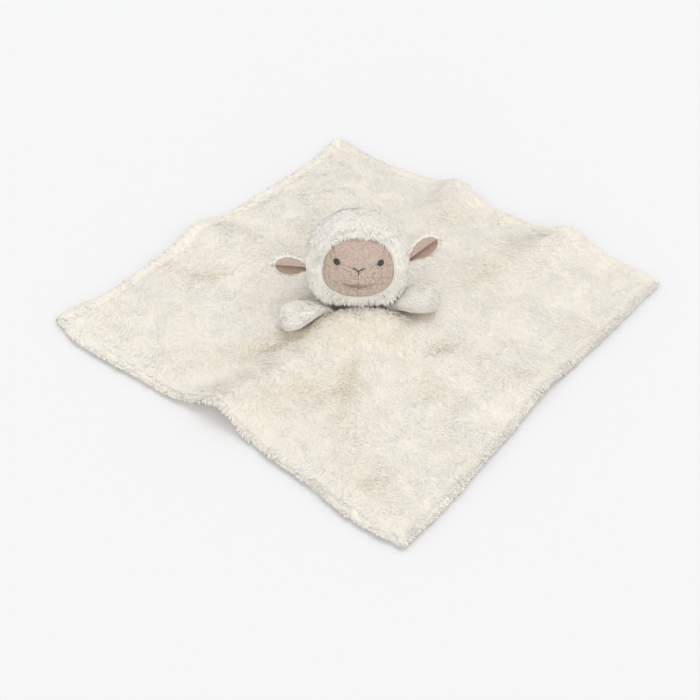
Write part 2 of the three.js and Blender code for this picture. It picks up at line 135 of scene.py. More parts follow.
# Merges doubled points, turns the faces outwards and shades them smooth
def finishFaces(thing):
    pick(thing)
    setMode("EDIT")
    bpy.ops.mesh.select_all(action="SELECT")
    bpy.ops.mesh.remove_doubles(threshold=0.000002)
    bpy.ops.mesh.normals_make_consistent(inside=False)
    setMode("OBJECT")
    # A thin sheet can come out with its inside outwards: its volume is then below nothing
    thing.data.calc_loop_triangles()
    corners = readAll(thing.data.loop_triangles, "vertices", int)
    first, second, third = placesOf(thing)[corners].transpose(1, 0, 2)
    if np.sum(first * np.cross(second, third)) < 0:
        setMode("EDIT")
        bpy.ops.mesh.select_all(action="SELECT")
        bpy.ops.mesh.flip_normals()
        setMode("OBJECT")
    smooth(thing)


# Goes into edit mode with just the wanted faces selected
def selectFaces(thing, wanted):
    pick(thing)
    setMode("EDIT")
    bpy.ops.mesh.select_mode(type="FACE")
    bpy.ops.mesh.select_all(action="DESELECT")
    setMode("OBJECT")
    faces = thing.data.polygons
    faces.foreach_set("select", wanted(readAll(faces, "center"), readAll(faces, "normal")))
    setMode("EDIT")


def keepFaces(thing, wanted):
    selectFaces(thing, lambda centres, normals: ~wanted(centres, normals))
    bpy.ops.mesh.delete(type="FACE")
    setMode("OBJECT")


# A copy with its own mesh, riding on nothing yet
def copyOf(thing, name):
    other = thing.copy()
    other.data = thing.data.copy()
    other.name = other.data.name = name
    bpy.context.scene.collection.objects.link(other)
    other.parent = None
    other.matrix_world = Matrix.Identity(4)
    for label in list(other.keys()):
        del other[label]
    return other


# A grid with a second face a thickness away, closed round its edge
def thickGrid(name, cells, size, thickness):
    deselectAll()
    bpy.ops.mesh.primitive_grid_add(x_subdivisions=cells[0], y_subdivisions=cells[1], size=size)
    sheet = named(name)
    sheet.data.uv_layers[0].name = "flatUV"
    modify(sheet, "SOLIDIFY", thickness=thickness, offset=1.0)
    return sheet


# Stores numbers or vectors on a mesh's points, each kind under its own name
def store(thing, **layers):
    for name, values in layers.items():
        values = np.asarray(values, dtype=np.float32)
        if values.ndim == 0:
            values = np.full(len(thing.data.vertices), values)
        kind, what = ("FLOAT_VECTOR", "vector") if values.ndim == 2 else ("FLOAT", "value")
        attribute = thing.data.attributes.new(name, kind, "POINT")
        attribute.data.foreach_set(what, values.ravel())


def stack(*parts):
    return np.stack(np.broadcast_arrays(*parts), axis=-1)


def unit(vectors):
    return vectors / np.maximum(np.linalg.norm(vectors, axis=-1, keepdims=True), 1e-6)


def smoothstep(low, high, value):
    share = np.clip((value - low) / (high - low), 0.0, 1.0)
    return share * share * (3.0 - 2.0 * share)


# 1 in the middle, fading over a width to each side
def bell(distance, width=1.0):
    return np.exp(-(distance / width) ** 2)


# Soft noise from -1 to 1 at each place, with patches of about one size
def softNoise(places, size, seed, depth=2):
    shift = Vector((seed * 7.31, seed * 3.17, seed * 5.53))
    return np.array([
        noise.fractal(Vector(p) / size + shift, 1.0, 2.0, depth, noise_basis="PERLIN_ORIGINAL")
        for p in places
    ])


# Sets a node's inputs, each to a value or to the socket that feeds it
def feed(node, inputs):
    for label, value in inputs.items():
        if isinstance(value, bpy.types.NodeSocket):
            node.id_data.links.new(value, node.inputs[label])
        else:
            node.inputs[label].default_value = value


def addNode(tree, kind, inputs={}, **settings):
    node = tree.nodes.new(kind)
    for label, value in settings.items():
        setattr(node, label, value)
    feed(node, inputs)
    return node


# The one output that is wanted of a new node
def outOf(tree, kind, label, inputs={}, **settings):
    return addNode(tree, kind, inputs, **settings).outputs[label]


def mixColours(tree, factor, first, second, how="MIX"):
    inputs = {"Factor": factor, "A": first, "B": second}
    return outOf(tree, "ShaderNodeMix", "Result", inputs, data_type="RGBA", blend_type=how)


# Shared effects, as node groups

def newGroup(name, inputs, outputs):
    tree = bpy.data.node_groups.new(name, "ShaderNodeTree")
    for label, value in inputs.items():
        kind = {type(None): "Vector", tuple: "Color", float: "Float"}[type(value)]
        socket = tree.interface.new_socket(label, in_out="INPUT", socket_type=f"NodeSocket{kind}")
        if value is not None:
            socket.default_value = value
    for label, kind in outputs.items():
        tree.interface.new_socket(label, in_out="OUTPUT", socket_type=f"NodeSocket{kind}")
    return tree, addNode(tree, "NodeGroupInput").outputs


def makePatchyTone():
    tree, given = newGroup(
        "patchyTone",
        {"Vector": None, "Light": (1, 1, 1, 1), "Dark": (0.8, 0.8, 0.8, 1), "Scale": 30.0,
         "Low": 0.35, "High": 0.65},
        {"Color": "Color"},
    )
    cloud = outOf(tree, "ShaderNodeTexNoise", "Fac", {
        "Vector": given["Vector"], "Scale": given["Scale"], "Detail": 4.0, "Roughness": 0.6,
    })
    spread = outOf(tree, "ShaderNodeMapRange", "Result", {
        "Value": cloud, "From Min": given["Low"], "From Max": given["High"],
    })
    addNode(tree, "NodeGroupOutput", {
        "Color": mixColours(tree, spread, given["Dark"], given["Light"]),
    })
    return tree


def makeFibreRelief():
    tree, given = newGroup(
        "fibreRelief", {"Vector": None, "Scale": 900.0, "Rough": 0.85, "Smooth": 1.0},
        {"Height": "Float", "Roughness": "Float"},
    )
    fine = outOf(tree, "ShaderNodeTexNoise", "Fac", {
        "Vector": given["Vector"], "Scale": given["Scale"], "Detail": 5.0, "Roughness": 0.7,
    })
    level = outOf(tree, "ShaderNodeMapRange", "Result", {
        "Value": fine, "To Min": given["Rough"], "To Max": given["Smooth"],
    })
    addNode(tree, "NodeGroupOutput", {"Height": fine, "Roughness": level})
    return tree


def makeWeave():
    tree, given = newGroup("weave", {"Vector": None, "Scale": 500.0}, {"Height": "Float"})
    inputs = {"Vector": given["Vector"], "Scale": given["Scale"], "Distortion": 0.4}
    bands = [
        outOf(tree, "ShaderNodeTexWave", "Fac", inputs, bands_direction=direction)
        for direction in ("X", "Y")
    ]
    over = outOf(tree, "ShaderNodeMath", "Value", {0: bands[0], 1: bands[1]}, operation="MAXIMUM")
    addNode(tree, "NodeGroupOutput", {"Height": over})
    return tree


patchyTone = makePatchyTone()
fibreRelief = makeFibreRelief()
weave = makeWeave()
print("stage: node groups made")


# Materials

def newMaterial(name):
    material = bpy.data.materials.new(name)
    material.use_nodes = True
    return material, material.node_tree, material.node_tree.nodes["Principled BSDF"]


def clothMaterial(name, values):
    material, tree, shader = newMaterial(name)
    place = outOf(tree, "ShaderNodeTexCoord", "Object")

    def useGroup(group, **inputs):
        inputs["Vector"] = place
        return addNode(tree, "ShaderNodeGroup", inputs, node_tree=group).outputs

    tone = useGroup(
        patchyTone, Light=values["light"], Dark=values["dark"], Scale=values["patch"],
        Low=values["low"], High=values["high"],
    )
    relief = useGroup(
        fibreRelief, Scale=values["grain"], Rough=values["rough"], Smooth=values["smooth"],
    )
    feed(shader, {
        "Base Color": tone["Color"], "Roughness": relief["Roughness"],
        "Sheen Weight": values["sheen"], "Sheen Roughness": 0.6,
        "Specular IOR Level": values["gloss"],
    })
    if values["bump"]:
        raised = useGroup(weave, Scale=values["weave"]) if "weave" in values else relief
        feed(shader, {"Normal": outOf(tree, "ShaderNodeBump", "Normal", {
            "Height": raised["Height"], "Strength": values["bump"], "Distance": values["depth"],
        })})
    return material, tree, shader


# The share that an attribute of the piece gives
def attributeOf(tree, name):
    return outOf(tree, "ShaderNodeAttribute", "Fac", attribute_name=name)


def colourOf(shader):
    return shader.inputs["Base Color"].links[0].from_socket


# Each tuft has its own tone, darkened and warmed by painted shade where the nap is ruffled; its
# root is painted deeper in colour than its tip, as painted shade deep in the pile; and light passes
# through the thin fibres
def pileMaterial(name, values):
    material, tree, shader = clothMaterial(name, values)
    ownShare = outOf(tree, "ShaderNodeMapRange", "Result", {
        "Value": attributeOf(tree, "tuftShade"), "To Max": values["tuftContrast"],
    })
    own = mixColours(tree, ownShare, colourOf(shader), values["warm"], "MULTIPLY")
    # The root's colour, fading out towards the tip, is painted shade deep in the pile
    rise = outOf(tree, "ShaderNodeMapRange", "Result", {
        "Value": attributeOf(tree, "tip"), "From Max": values["rootReach"],
    })
    feed(shader, {
        "Base Color": mixColours(tree, rise, values["root"], own),
        "Subsurface Weight": values["glow"], "Subsurface Radius": (1.0, 1.0, 1.0),
        "Subsurface Scale": values["glowReach"],
    })
    return material, tree, shader


# Painted shade, deeper where a piece's own attribute says so: along the mouth,
# and in the fold of an ear
def velourMaterial(name, values):
    material, tree, shader = clothMaterial(name, values)
    deep = attributeOf(tree, "deep")
    feed(shader, {
        "Base Color": mixColours(tree, deep, colourOf(shader), values["deep"], "MULTIPLY"),
    })
    return material, tree, shader


# The blanket's base cloth is warmer and darker than its pile: painted shade between the tufts
plushBase = {
    "light": (0.93, 0.87, 0.76, 1), "dark": (0.90, 0.825, 0.69, 1), "patch": 18.0,
    "low": 0.3, "high": 0.6, "grain": 700.0, "rough": 0.85, "smooth": 1.0, "sheen": 0.15,
    "gloss": 0.15, "bump": 0.5, "depth": 0.0008,
}
# The warm colour is reached by each tuft's own tone and by painted shade; the root colour is
# painted shade deep in the pile
plushPile = dict(
    plushBase, light=(0.96, 0.912, 0.84, 1), dark=(0.945, 0.89, 0.805, 1), bump=0.0,
    tuftContrast=0.8, warm=(0.94, 0.865, 0.73, 1), root=(0.91, 0.81, 0.65, 1), rootReach=0.45,
    glow=0.5, glowReach=0.0004,
)
# Here too the root colour is painted shade deep in the pile
fleecePile = dict(
    plushPile, light=(0.985, 0.94, 0.85, 1), dark=(0.975, 0.92, 0.81, 1), patch=45.0,
    tuftContrast=0.5, warm=(0.955, 0.92, 0.85, 1), root=(0.94, 0.89, 0.80, 1), sheen=0.3,
)
pawPile = dict(
    fleecePile, light=(0.985, 0.935, 0.84, 1), dark=(0.975, 0.91, 0.795, 1),
    root=(0.95, 0.875, 0.75, 1),
)
velourCheek = dict(
    plushBase, light=(0.59, 0.475, 0.395, 1), dark=(0.335, 0.26, 0.205, 1), patch=520.0,
    low=0.36, grain=1500.0, rough=0.8, sheen=0.35, bump=0.55, depth=0.0006,
    # The colour that painted shade darkens the velour towards
    deep=(0.50, 0.42, 0.36, 1),
)
thread = dict(
    plushBase, patch=900.0, low=0.35, high=0.65, grain=1800.0, rough=0.35, smooth=0.6,
    sheen=0.0, gloss=0.5, bump=0.4, depth=0.0001,
)
finishValues = {
    "plushBase": (clothMaterial, plushBase),
    "plushPile": (pileMaterial, plushPile),
    # The fleece's base cloth is darker than its pile: painted shade under the tufts and at bare
    # spots
    "fleeceBase": (clothMaterial, dict(
        plushBase, light=(0.85, 0.82, 0.76, 1), dark=(0.82, 0.78, 0.71, 1),
    )),
    "fleecePile": (pileMaterial, fleecePile),
    "pawPile": (pileMaterial, pawPile),
    "velourCheek": (velourMaterial, velourCheek),
    "velourBrow": (velourMaterial, dict(
        velourCheek, light=(0.575, 0.45, 0.385, 1), dark=(0.44, 0.335, 0.285, 1),
    )),
    "velourEar": (velourMaterial, dict(
        velourCheek, light=(0.52, 0.41, 0.345, 1), dark=(0.44, 0.345, 0.285, 1),
        # The painted shade in the ear's fold and pocket
        deep=(0.66, 0.56, 0.50, 1),
    )),
    "eyeThread": (clothMaterial, dict(
        thread, light=(0.075, 0.078, 0.062, 1), dark=(0.022, 0.024, 0.018, 1),
    )),
    "noseThread": (clothMaterial, dict(
        thread, light=(0.14, 0.115, 0.095, 1), dark=(0.06, 0.05, 0.04, 1),
    )),
    "hemThread": (clothMaterial, dict(
        thread, light=(0.89, 0.84, 0.74, 1), dark=(0.84, 0.77, 0.66, 1), patch=700.0,
        grain=1400.0,
    )),
    "backing": (clothMaterial, dict(
        thread, light=(0.80, 0.75, 0.66, 1), dark=(0.72, 0.66, 0.56, 1), patch=90.0, low=0.3,
        high=0.7, grain=1500.0, rough=0.8, smooth=1.0, bump=0.5, depth=0.0003, weave=420.0,
    )),
    "filling": (clothMaterial, dict(
        plushBase, light=(0.92, 0.92, 0.91, 1), dark=(0.85, 0.85, 0.84, 1), patch=160.0,
    )),
}
finishes = {name: make(name, values)[0] for name, (make, values) in finishValues.items()}


def wear(thing, finish):
    thing.data.materials.clear()
    thing.data.materials.append(finishes[finish])


def dress(thing, finish, body=None, replaced=()):
    wear(thing, finish)
    if body:
        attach(thing, body)
    if replaced:
        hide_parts(*replaced)


print("stage: materials made")


# Floor, world and lamps

lighting = {
    "floor": (0.848, 0.852, 0.862, 1), "backdrop": (0.92, 0.92, 0.92, 1),
    "sky": (0.985, 0.99, 1.0, 1), "skyStrength": 0.71, "sun": (1.0, 0.985, 0.95),
    "suns": [
        {"energy": 0.78, "angle": 40.0, "from": (0.24, 0.20, 0.95)},
        {"energy": 1.0, "angle": 60.0, "from": (-0.10, -0.85, 0.50)},
    ],
}


def addStage():
    bpy.ops.mesh.primitive_plane_add(size=200.0, location=(0.0, 0.0, -0.0001))
    floor = named("studioFloor")
    material, _, shader = newMaterial("studioFloor")
    feed(shader, {
        "Base Color": lighting["floor"], "Roughness": 1.0, "Specular IOR Level": 0.0,
    })
    floor.data.materials.append(material)
    world = bpy.data.worlds.new("studioWorld")
    bpy.context.scene.world = world
    world.use_nodes = True
    tree = world.node_tree
    sky = tree.nodes["Background"]
    feed(sky, {"Color": lighting["sky"], "Strength": lighting["skyStrength"]})
    seen = outOf(tree, "ShaderNodeBackground", "Background", {"Color": lighting["backdrop"]})
    feed(tree.nodes["World Output"], {"Surface": outOf(tree, "ShaderNodeMixShader", "Shader", {
        "Fac": outOf(tree, "ShaderNodeLightPath", "Is Camera Ray"),
        1: sky.outputs["Background"], 2: seen,
    })})
    for lamp in lighting["suns"]:
        bpy.ops.object.light_add(type="SUN", location=(0, 0, 1))
        sun = bpy.context.object
        sun.data.energy = lamp["energy"]
        sun.data.angle = math.radians(lamp["angle"])
        sun.data.color = lighting["sun"]
        aim = Vector(lamp["from"]).normalized()
        sun.rotation_mode = "QUATERNION"
        sun.rotation_quaternion = aim.to_track_quat("Z", "Y")
    bpy.context.scene.view_settings.view_transform = "Standard"


addStage()
print("stage: floor and lamps placed")


# The blanket's lie, shared by its layers, its hem and what rests on it

blanket = {
    "side": 0.380, "layer": 0.0044, "gap": 0.0003, "cells": 180,
    "foldHeight": 0.014, "foldWidth": 0.022,
    "flatReach": (0.0224, 0.0378),  # round the neck, where the folds fade in
    "edgeWave": 0.008, "edgeReachShare": 0.18,
    "hemInset": 0.010, "hemGroove": 0.0005, "hemGrooveWidth": 0.0036, "hemFade": 0.012,
    "rimShare": 0.94, "underEase": 0.0005,
    "pileRise": 0.0014,  # of the pile over the cloth that it grows from
    "rimRound": 0.0055, "rimGather": 0.55,
    "billow": 0.0010, "billowSize": 0.026, "ripple": 0.00045, "rippleSize": 0.009,
}
neck = {"x": -0.0055, "y": -0.0013, "z": 0.0094, "radius": 0.014, "bareShares": (0.6, 1.2)}
halfDiagonal = blanket["side"] / math.sqrt(2)
blanketTop = 2 * blanket["layer"] + blanket["gap"]

# Each fold runs between two places, in shares of half the diagonal: start x and y, end x and y,
# width, and the rise at its start and at its end, in shares of foldWidth and foldHeight
foldShares = [
    (-0.16, -0.24, -0.5, -0.5, 1.0, 0.4, 1.0),
    (0.24, 0.36, 0.42, 0.58, 0.9, 0.15, 0.9),
    (0.4, 0.08, 0.75, 0.25, 0.9, 0.2, 0.85),
    (-0.26, 0.22, -0.57, 0.43, 0.9, 0.15, 0.65),
    (-0.03, -0.28, -0.12, -0.62, 0.7, 0.4, 0.15),
    (0.24, -0.32, 0.52, -0.48, 1.2, 0.15, 0.3),
    (-0.13, -0.19, 0.07, -0.19, 0.75, 1.05, 1.05),
]
# The cloth gathered up under the chin
mound = {
    "x": -0.009, "y": -0.044, "across": 0.036, "power": 1.4, "front": 0.019, "back": 0.0105,
    "rise": 0.0180,
}
# Shallow creases, pressed into the top layer only: start x and y, end x and y, width, depth, and
# how far the nap is ruffled along them
creases = [
    (-0.0196, -0.0808, -0.0322, -0.1395, 0.008, 0.0022, 0.9),
    (-0.1365, -0.070, -0.0433, -0.0426, 0.009, 0.0018, 0.9),
    (-0.0869, -0.1154, -0.0306, -0.1116, 0.011, 0.0006, 0.8),
    (0.0371, -0.0754, 0.0804, -0.0645, 0.006, 0.0022, 0.9),
    (0.0263, -0.0926, 0.054, -0.1368, 0.008, 0.0018, 0.6),
    (0.0697, 0.0036, 0.1483, 0.0413, 0.009, 0.0018, 0.6),
    (0.0744, 0.100, 0.1252, 0.1234, 0.008, 0.0014, 0.4),
    (-0.1714, 0.0547, -0.1009, 0.0393, 0.009, 0.0014, 0.6),
    (-0.0269, -0.1743, -0.009, -0.2372, 0.012, 0.0004, 0.5),
    (0.1003, -0.1103, 0.1338, -0.1087, 0.005, 0.0010, 0.6),
    (0.1635, -0.0518, 0.1929, -0.0662, 0.006, 0.0006, 0.5),
    # These last two press nothing in: they ruffle the nap under the arms, which gives painted shade
    # there
    (0.020, -0.033, 0.052, -0.030, 0.006, 0.0, 1.2),
    (-0.085, -0.058, -0.042, -0.036, 0.005, 0.0, 1.0),
]
creaseColumns = {"depth": 5, "ruffle": 6}
# How far each edge waves in and out, at shares of the way along it
edgeShares = {
    "leftToFront": [(0, 0), (0.1, 0.9), (0.34, 0.3), (0.5, -0.9), (0.72, -0.2), (0.9, 0.5), (1, 0)],
    "backToRight": [
        (0, 0), (0.15, -0.9), (0.42, 0.4), (0.6, -0.3), (0.75, 0.8), (0.93, 0.3), (1, 0),
    ],
    "leftToBack": [(0, 0), (0.15, -1.1), (0.43, -0.4), (0.6, -1), (0.86, -1.1), (1, 0)],
    "frontToRight": [(0, 0), (0.12, 0.2), (0.3, -0.2), (0.52, -0.7), (0.78, -0.2), (1, 0)],
}


def tableAt(table, place):
    places, values = np.array(table, float).T
    after = np.clip(np.searchsorted(places, place), 1, len(table) - 1)
    share = smoothstep(0.0, 1.0, (place - places[after - 1]) / (places[after] - places[after - 1]))
    return values[after - 1] + (values[after] - values[after - 1]) * share


# Distance from a straight run, and how far along it the nearest point is
def awayFrom(x, y, ends):
    start, run = ends[:2], np.array(ends[2:]) - np.array(ends[:2])
    along = np.clip(((x - start[0]) * run[0] + (y - start[1]) * run[1]) / (run @ run), 0, 1)
    return np.hypot(x - start[0] - run[0] * along, y - start[1] - run[1] * along), along


def foldLift(x, y):
    lift = np.zeros_like(x)
    for *ends, width, first, last in foldShares:
        away, along = awayFrom(x, y, np.array(ends) * halfDiagonal)
        rise = (first + (last - first) * along) * blanket["foldHeight"]
        lift = np.hypot(lift, rise * bell(away, width * blanket["foldWidth"]))
    deep = np.where(y < mound["y"], mound["front"], mound["back"])
    beside = np.abs((x - mound["x"]) / mound["across"]) ** mound["power"]
    away = np.hypot(beside, (y - mound["y"]) / deep)
    lift = np.hypot(lift, mound["rise"] * bell(away))
    return lift * smoothstep(*blanket["flatReach"], fromNeck(x, y))


def fromNeck(x, y):
    return np.hypot(x - neck["x"], y - neck["y"])


def creaseSum(x, y, what, wider=1.0):
    total = np.zeros_like(x)
    for crease in creases:
        away, along = awayFrom(x, y, crease[:4])
        ends = np.sin(math.pi * np.clip(along, 0.12, 0.88))
        total += crease[creaseColumns[what]] * ends * bell(away, crease[4] * wider)
    return total


# Where a place of the flat square lies in plan, with its wavy edges
def planOf(a, b):
    side = blanket["side"]
    s, t = a / side, b / side

    def wave(distance, edge, along):
        near = np.maximum(0, 1 - distance / (blanket["edgeReachShare"] * side))
        return near ** 2 * blanket["edgeWave"] * tableAt(edgeShares[edge], along)

    p = a + (wave(side - a, "frontToRight", t) - wave(a, "leftToBack", t))
    q = b + (wave(side - b, "backToRight", s) - wave(b, "leftToFront", s))
    p, q = p / math.sqrt(2), q / math.sqrt(2)
    return p + q - halfDiagonal, q - p


def edgeDistance(a, b):
    side = blanket["side"]
    return np.minimum(np.minimum(a, b), np.minimum(side - a, side - b))


# How far a layer's outer face is drawn in near the edge: a rounded rim and a stitched groove
def hemShape(fromEdge):
    near = np.clip(1 - fromEdge / blanket["rimRound"], 0, 1)
    rim = (blanket["layer"] * blanket["rimShare"]) * (1 - np.sqrt(np.maximum(0, 1 - near ** 2)))
    groove = bell(fromEdge - blanket["hemInset"], blanket["hemGrooveWidth"])
    return rim + blanket["hemGroove"] * groove


def billow(x, y, seed):
    places = stack(x, y, 0.0)
    slow = softNoise(places, blanket["billowSize"], seed) * blanket["billow"]
    return slow + softNoise(places, blanket["rippleSize"], seed + 1) * blanket["ripple"]


def topHeight(x, y, fromEdge):
    lift = foldLift(x, y) + blanketTop - blanket["pileRise"] - hemShape(fromEdge)
    fade = smoothstep(0.0, blanket["hemFade"], fromEdge)
    return lift - (creaseSum(x, y, "depth") - billow(x, y, 3)) * fade


def bottomHeight(x, y, fromEdge):
    return np.maximum(0, foldLift(x, y) - blanket["underEase"]) + hemShape(fromEdge)


def makeLayer(name, isTop, replaced):
    side, thick = blanket["side"], blanket["layer"]
    layer = thickGrid(name, [blanket["cells"]] * 2, side, thick)
    flat = placesOf(layer)
    upper = flat[:, 2] > thick / 2
    # Rows of faces gather at the rim, where the edge is rounded
    turns = 2 * math.pi
    shares = flat[:, :2] / side + 0.5
    shares = shares - blanket["rimGather"] * np.sin(turns * shares) / turns
    a, b = np.clip(shares.T, 0, 1) * side
    fromEdge = edgeDistance(a, b)
    x, y = planOf(a, b)
    lift = foldLift(x, y)
    if isTop:
        z = np.where(upper, topHeight(x, y, fromEdge), lift + thick + blanket["gap"])
    else:
        z = np.where(upper, lift + thick, bottomHeight(x, y, fromEdge))
    setPlaces(layer, stack(x, y, z))
    finishFaces(layer)
    dress(layer, "plushBase", "blanket", [replaced])
    return layer


blanketTopLayer = makeLayer("blanketTopLayer", True, "blanket_top_panel")
blanketUnderLayer = makeLayer("blanketUnderLayer", False, "blanket_underside_panel")
print("stage: blanket layers made")


# One tuft of pile, modelled once: a flat three-sided blade whose tip is bent over

tuftShape = {
    "width": 0.5, "flatness": 0.5, "waist": 0.5, "waistBend": 0.1, "tipBend": 0.35,
    "widths": (0.7, 1.3), "lengths": (0.65, 1.25), "ownShade": 0.3,  # how the copies differ
}


def makeTuft():
    deselectAll()
    waist = tuftShape["waist"]
    bpy.ops.mesh.primitive_cylinder_add(
        vertices=3, radius=tuftShape["width"], depth=waist, location=(0, 0, waist / 2),
    )
    tuft = named("pileTuft")
    bpy.ops.object.transform_apply(location=True, rotation=True, scale=True)
    selectFaces(tuft, lambda centres, normals: normals[:, 2] > 0.9)
    bpy.ops.mesh.extrude_region_move(
        TRANSFORM_OT_translate={"value": (tuftShape["tipBend"], 0, 1 - waist)},
    )
    bpy.ops.mesh.merge(type="CENTER")
    setMode("OBJECT")
    places = placesOf(tuft)
    places[:, 0] *= np.where(places[:, 2] < 0.9, tuftShape["flatness"], 1.0)
    places[np.abs(places[:, 2] - waist) < 0.01, 0] += tuftShape["waistBend"]
    setPlaces(tuft, places)
    tuft.data.uv_layers[0].name = "tuftUV"
    store(tuft, tip=placesOf(tuft)[:, 2])
    smooth(tuft)
    return tuft


tuftModel = makeTuft()

# Where the nap is ruffled: how strongly each cause counts, and what it does to the tufts.
# The tufts' warmth there is painted shade, in creases, on fold flanks, round the neck and under the
# arms
ruffling = {
    "slope": 2.0, "slopeStep": 0.002, "neckReach": 0.038, "neck": 0.8, "wider": 1.3,
    "stray": 0.2, "straySize": 0.032, "strayRange": (0.15, 0.75), "most": 0.42,
    "scatter": 0.8, "lean": 0.5, "paintedShadeWarmth": 0.75,
}


def pileTree(values):
    tree = bpy.data.node_groups.new("pileGrowth", "GeometryNodeTree")
    for way in ("INPUT", "OUTPUT"):
        tree.interface.new_socket("Geometry", in_out=way, socket_type="NodeSocketGeometry")

    def read(name, kind="FLOAT"):
        return outOf(tree, "GeometryNodeInputNamedAttribute", "Attribute", {"Name": name},
                     data_type=kind)

    def vector(operation, first, second=None, answer="Vector"):
        # Scaling takes a number, and what takes one vector has no second
        second = {} if second is None else {"Scale" if operation == "SCALE" else 1: second}
        return outOf(tree, "ShaderNodeVectorMath", answer, {0: first, **second},
                     operation=operation)

    def random(low, high, shift, kind="FLOAT"):
        inputs = {"Min": low, "Max": high, "Seed": values["seed"] + shift}
        return outOf(tree, "FunctionNodeRandomValue", "Value", inputs, data_type=kind)

    def sums(operation, *inputs):
        return outOf(tree, "ShaderNodeMath", "Value", dict(enumerate(inputs)),
                     operation=operation)

    def storeAs(name, geometry, value, kind, domain):
        inputs = {"Name": name, "Geometry": geometry, "Value": value}
        return outOf(tree, "GeometryNodeStoreNamedAttribute", "Geometry", inputs,
                     data_type=kind, domain=domain)

    spread = addNode(tree, "GeometryNodeDistributePointsOnFaces", {
        "Mesh": outOf(tree, "NodeGroupInput", "Geometry"), "Distance Min": values["spacing"],
        "Density Max": values["density"], "Density Factor": read("pileShare"),
        "Seed": values["seed"],
    }, distribute_method="POISSON")
    normal, calm = spread.outputs["Normal"], read("calm")

    # Where the nap is ruffled the tufts point more ways and lean less
    def byCalm(ruffledValue, calmValue):
        return outOf(tree, "ShaderNodeMapRange", "Result", {
            "Value": calm, "From Min": 1.0 - ruffling["most"], "To Min": ruffledValue,
            "To Max": calmValue,
        })

    cloud = outOf(tree, "ShaderNodeTexNoise", "Color", {
        "Vector": outOf(tree, "GeometryNodeInputPosition", "Position"),
        "Scale": 1.0 / values["patch"], "Detail": 2.0,
    })
    swirl = vector("SCALE", vector("SUBTRACT", cloud, (0.5, 0.5, 0.5)), values["swirl"])
    scatter = byCalm(values["jitter"] + ruffling["scatter"], values["jitter"])
    jitter = vector("SCALE", random((-1, -1, -1), (1, 1, 1), 5, "FLOAT_VECTOR"), scatter)
    nap = vector("ADD", vector("ADD", read("nap", "FLOAT_VECTOR"), swirl), jitter)
    outward = vector("SCALE", normal, vector("DOT_PRODUCT", nap, normal, "Value"))
    nap = vector("NORMALIZE", vector("SUBTRACT", nap, outward))
    lean = vector("SCALE", nap, byCalm(values["lean"] * ruffling["lean"], values["lean"]))
    lean = vector("SCALE", lean, random(values["leanLeast"], 1.0, 4))
    lean = vector("SCALE", lean, read("pileLean"))
    up = outOf(tree, "FunctionNodeAlignRotationToVector", "Rotation", {
        "Vector": vector("ADD", normal, lean),
    }, axis="Z")
    turned = outOf(tree, "FunctionNodeAlignRotationToVector", "Rotation", {
        "Rotation": up, "Vector": nap,
    }, axis="X", pivot_axis="Z")

    wide = random(*(values["width"] * share for share in tuftShape["widths"]), 1)
    tall = random(*(values["length"] * share for share in tuftShape["lengths"]), 2)
    size = outOf(tree, "ShaderNodeCombineXYZ", "Vector", {
        "X": wide, "Y": wide, "Z": sums("MULTIPLY", tall, read("pileLength")),
    })
    # Each tuft's own random tone, plus painted shade where the nap is ruffled
    shade = sums("MULTIPLY_ADD", random(0.0, 1.0, 3), tuftShape["ownShade"],
                 byCalm(ruffling["paintedShadeWarmth"], 0.0))
    points = storeAs("tuftShade", spread.outputs["Points"], shade, "FLOAT", "POINT")
    # Where the nap is calm the tufts are bedded deeper in the cloth
    bedding = vector("SCALE", vector("SCALE", normal, -values["bedding"]), calm)
    points = outOf(tree, "GeometryNodeSetPosition", "Geometry", {
        "Geometry": points, "Offset": bedding,
    })
    tufts = outOf(tree, "GeometryNodeInstanceOnPoints", "Instances", {
        "Points": points, "Rotation": turned, "Scale": size,
        "Instance": outOf(tree, "GeometryNodeObjectInfo", "Geometry", {"Object": tuftModel}),
    })
    tufts = outOf(tree, "GeometryNodeRealizeInstances", "Geometry", {"Geometry": tufts})
    spot = vector("SCALE", read("tuftUV", "FLOAT_VECTOR"), values["bakeSpot"])
    spot = vector("ADD", read("flatUV", "FLOAT_VECTOR"), spot)
    tufts = storeAs("OFBake", tufts, spot, "FLOAT2", "CORNER")
    # Light falls on a tuft mostly as it falls on the cloth under it
    shared = vector("SCALE", read("clothNormal", "FLOAT_VECTOR"), values["softness"])
    shared = vector("SCALE", shared, calm)
    mixed = vector("ADD", outOf(tree, "GeometryNodeInputNormal", "Normal"), shared)
    addNode(tree, "NodeGroupOutput", {
        "Geometry": outOf(tree, "GeometryNodeSetMeshNormal", "Mesh", {
            "Mesh": tufts, "Custom Normal": vector("NORMALIZE", mixed),
        }, mode="FREE", domain="POINT"),
    })
    return tree


# A copy of the faces of a piece that pile grows from
def groundOf(thing, wanted):
    ground = copyOf(thing, "ground")
    keepFaces(ground, wanted)
    return ground, placesOf(ground), normalsOf(ground)


def clumpsAt(places, values):
    return values["clump"] * softNoise(places, values["clumpSize"], values["clumpSeed"])


# Turns a ground mesh into the tufts that stand on it. The nap is the way they lie, calm is 1
# where it lies smooth, and the shares thin them out, lengthen them and lean them over.
def growPile(name, ground, values, nap, calm=1.0, share=1.0, length=1.0, lean=1.0):
    ground.name = ground.data.name = name
    given = {
        "nap": nap, "calm": calm, "pileShare": share, "pileLength": length, "pileLean": lean,
        "clothNormal": unit(normalsOf(ground) + np.array(values["towards"])),
    }
    store(ground, **given)
    modify(ground, "NODES", node_group=pileTree(values))
    for label in [*given, "flatUV", "tuftUV"]:
        spare = ground.data.attributes.get(label)
        if spare:
            ground.data.attributes.remove(spare)
    faces = sum(len(p.vertices) - 2 for p in ground.data.polygons)
    print(f"stage: {name} has {faces} triangles")
    return ground


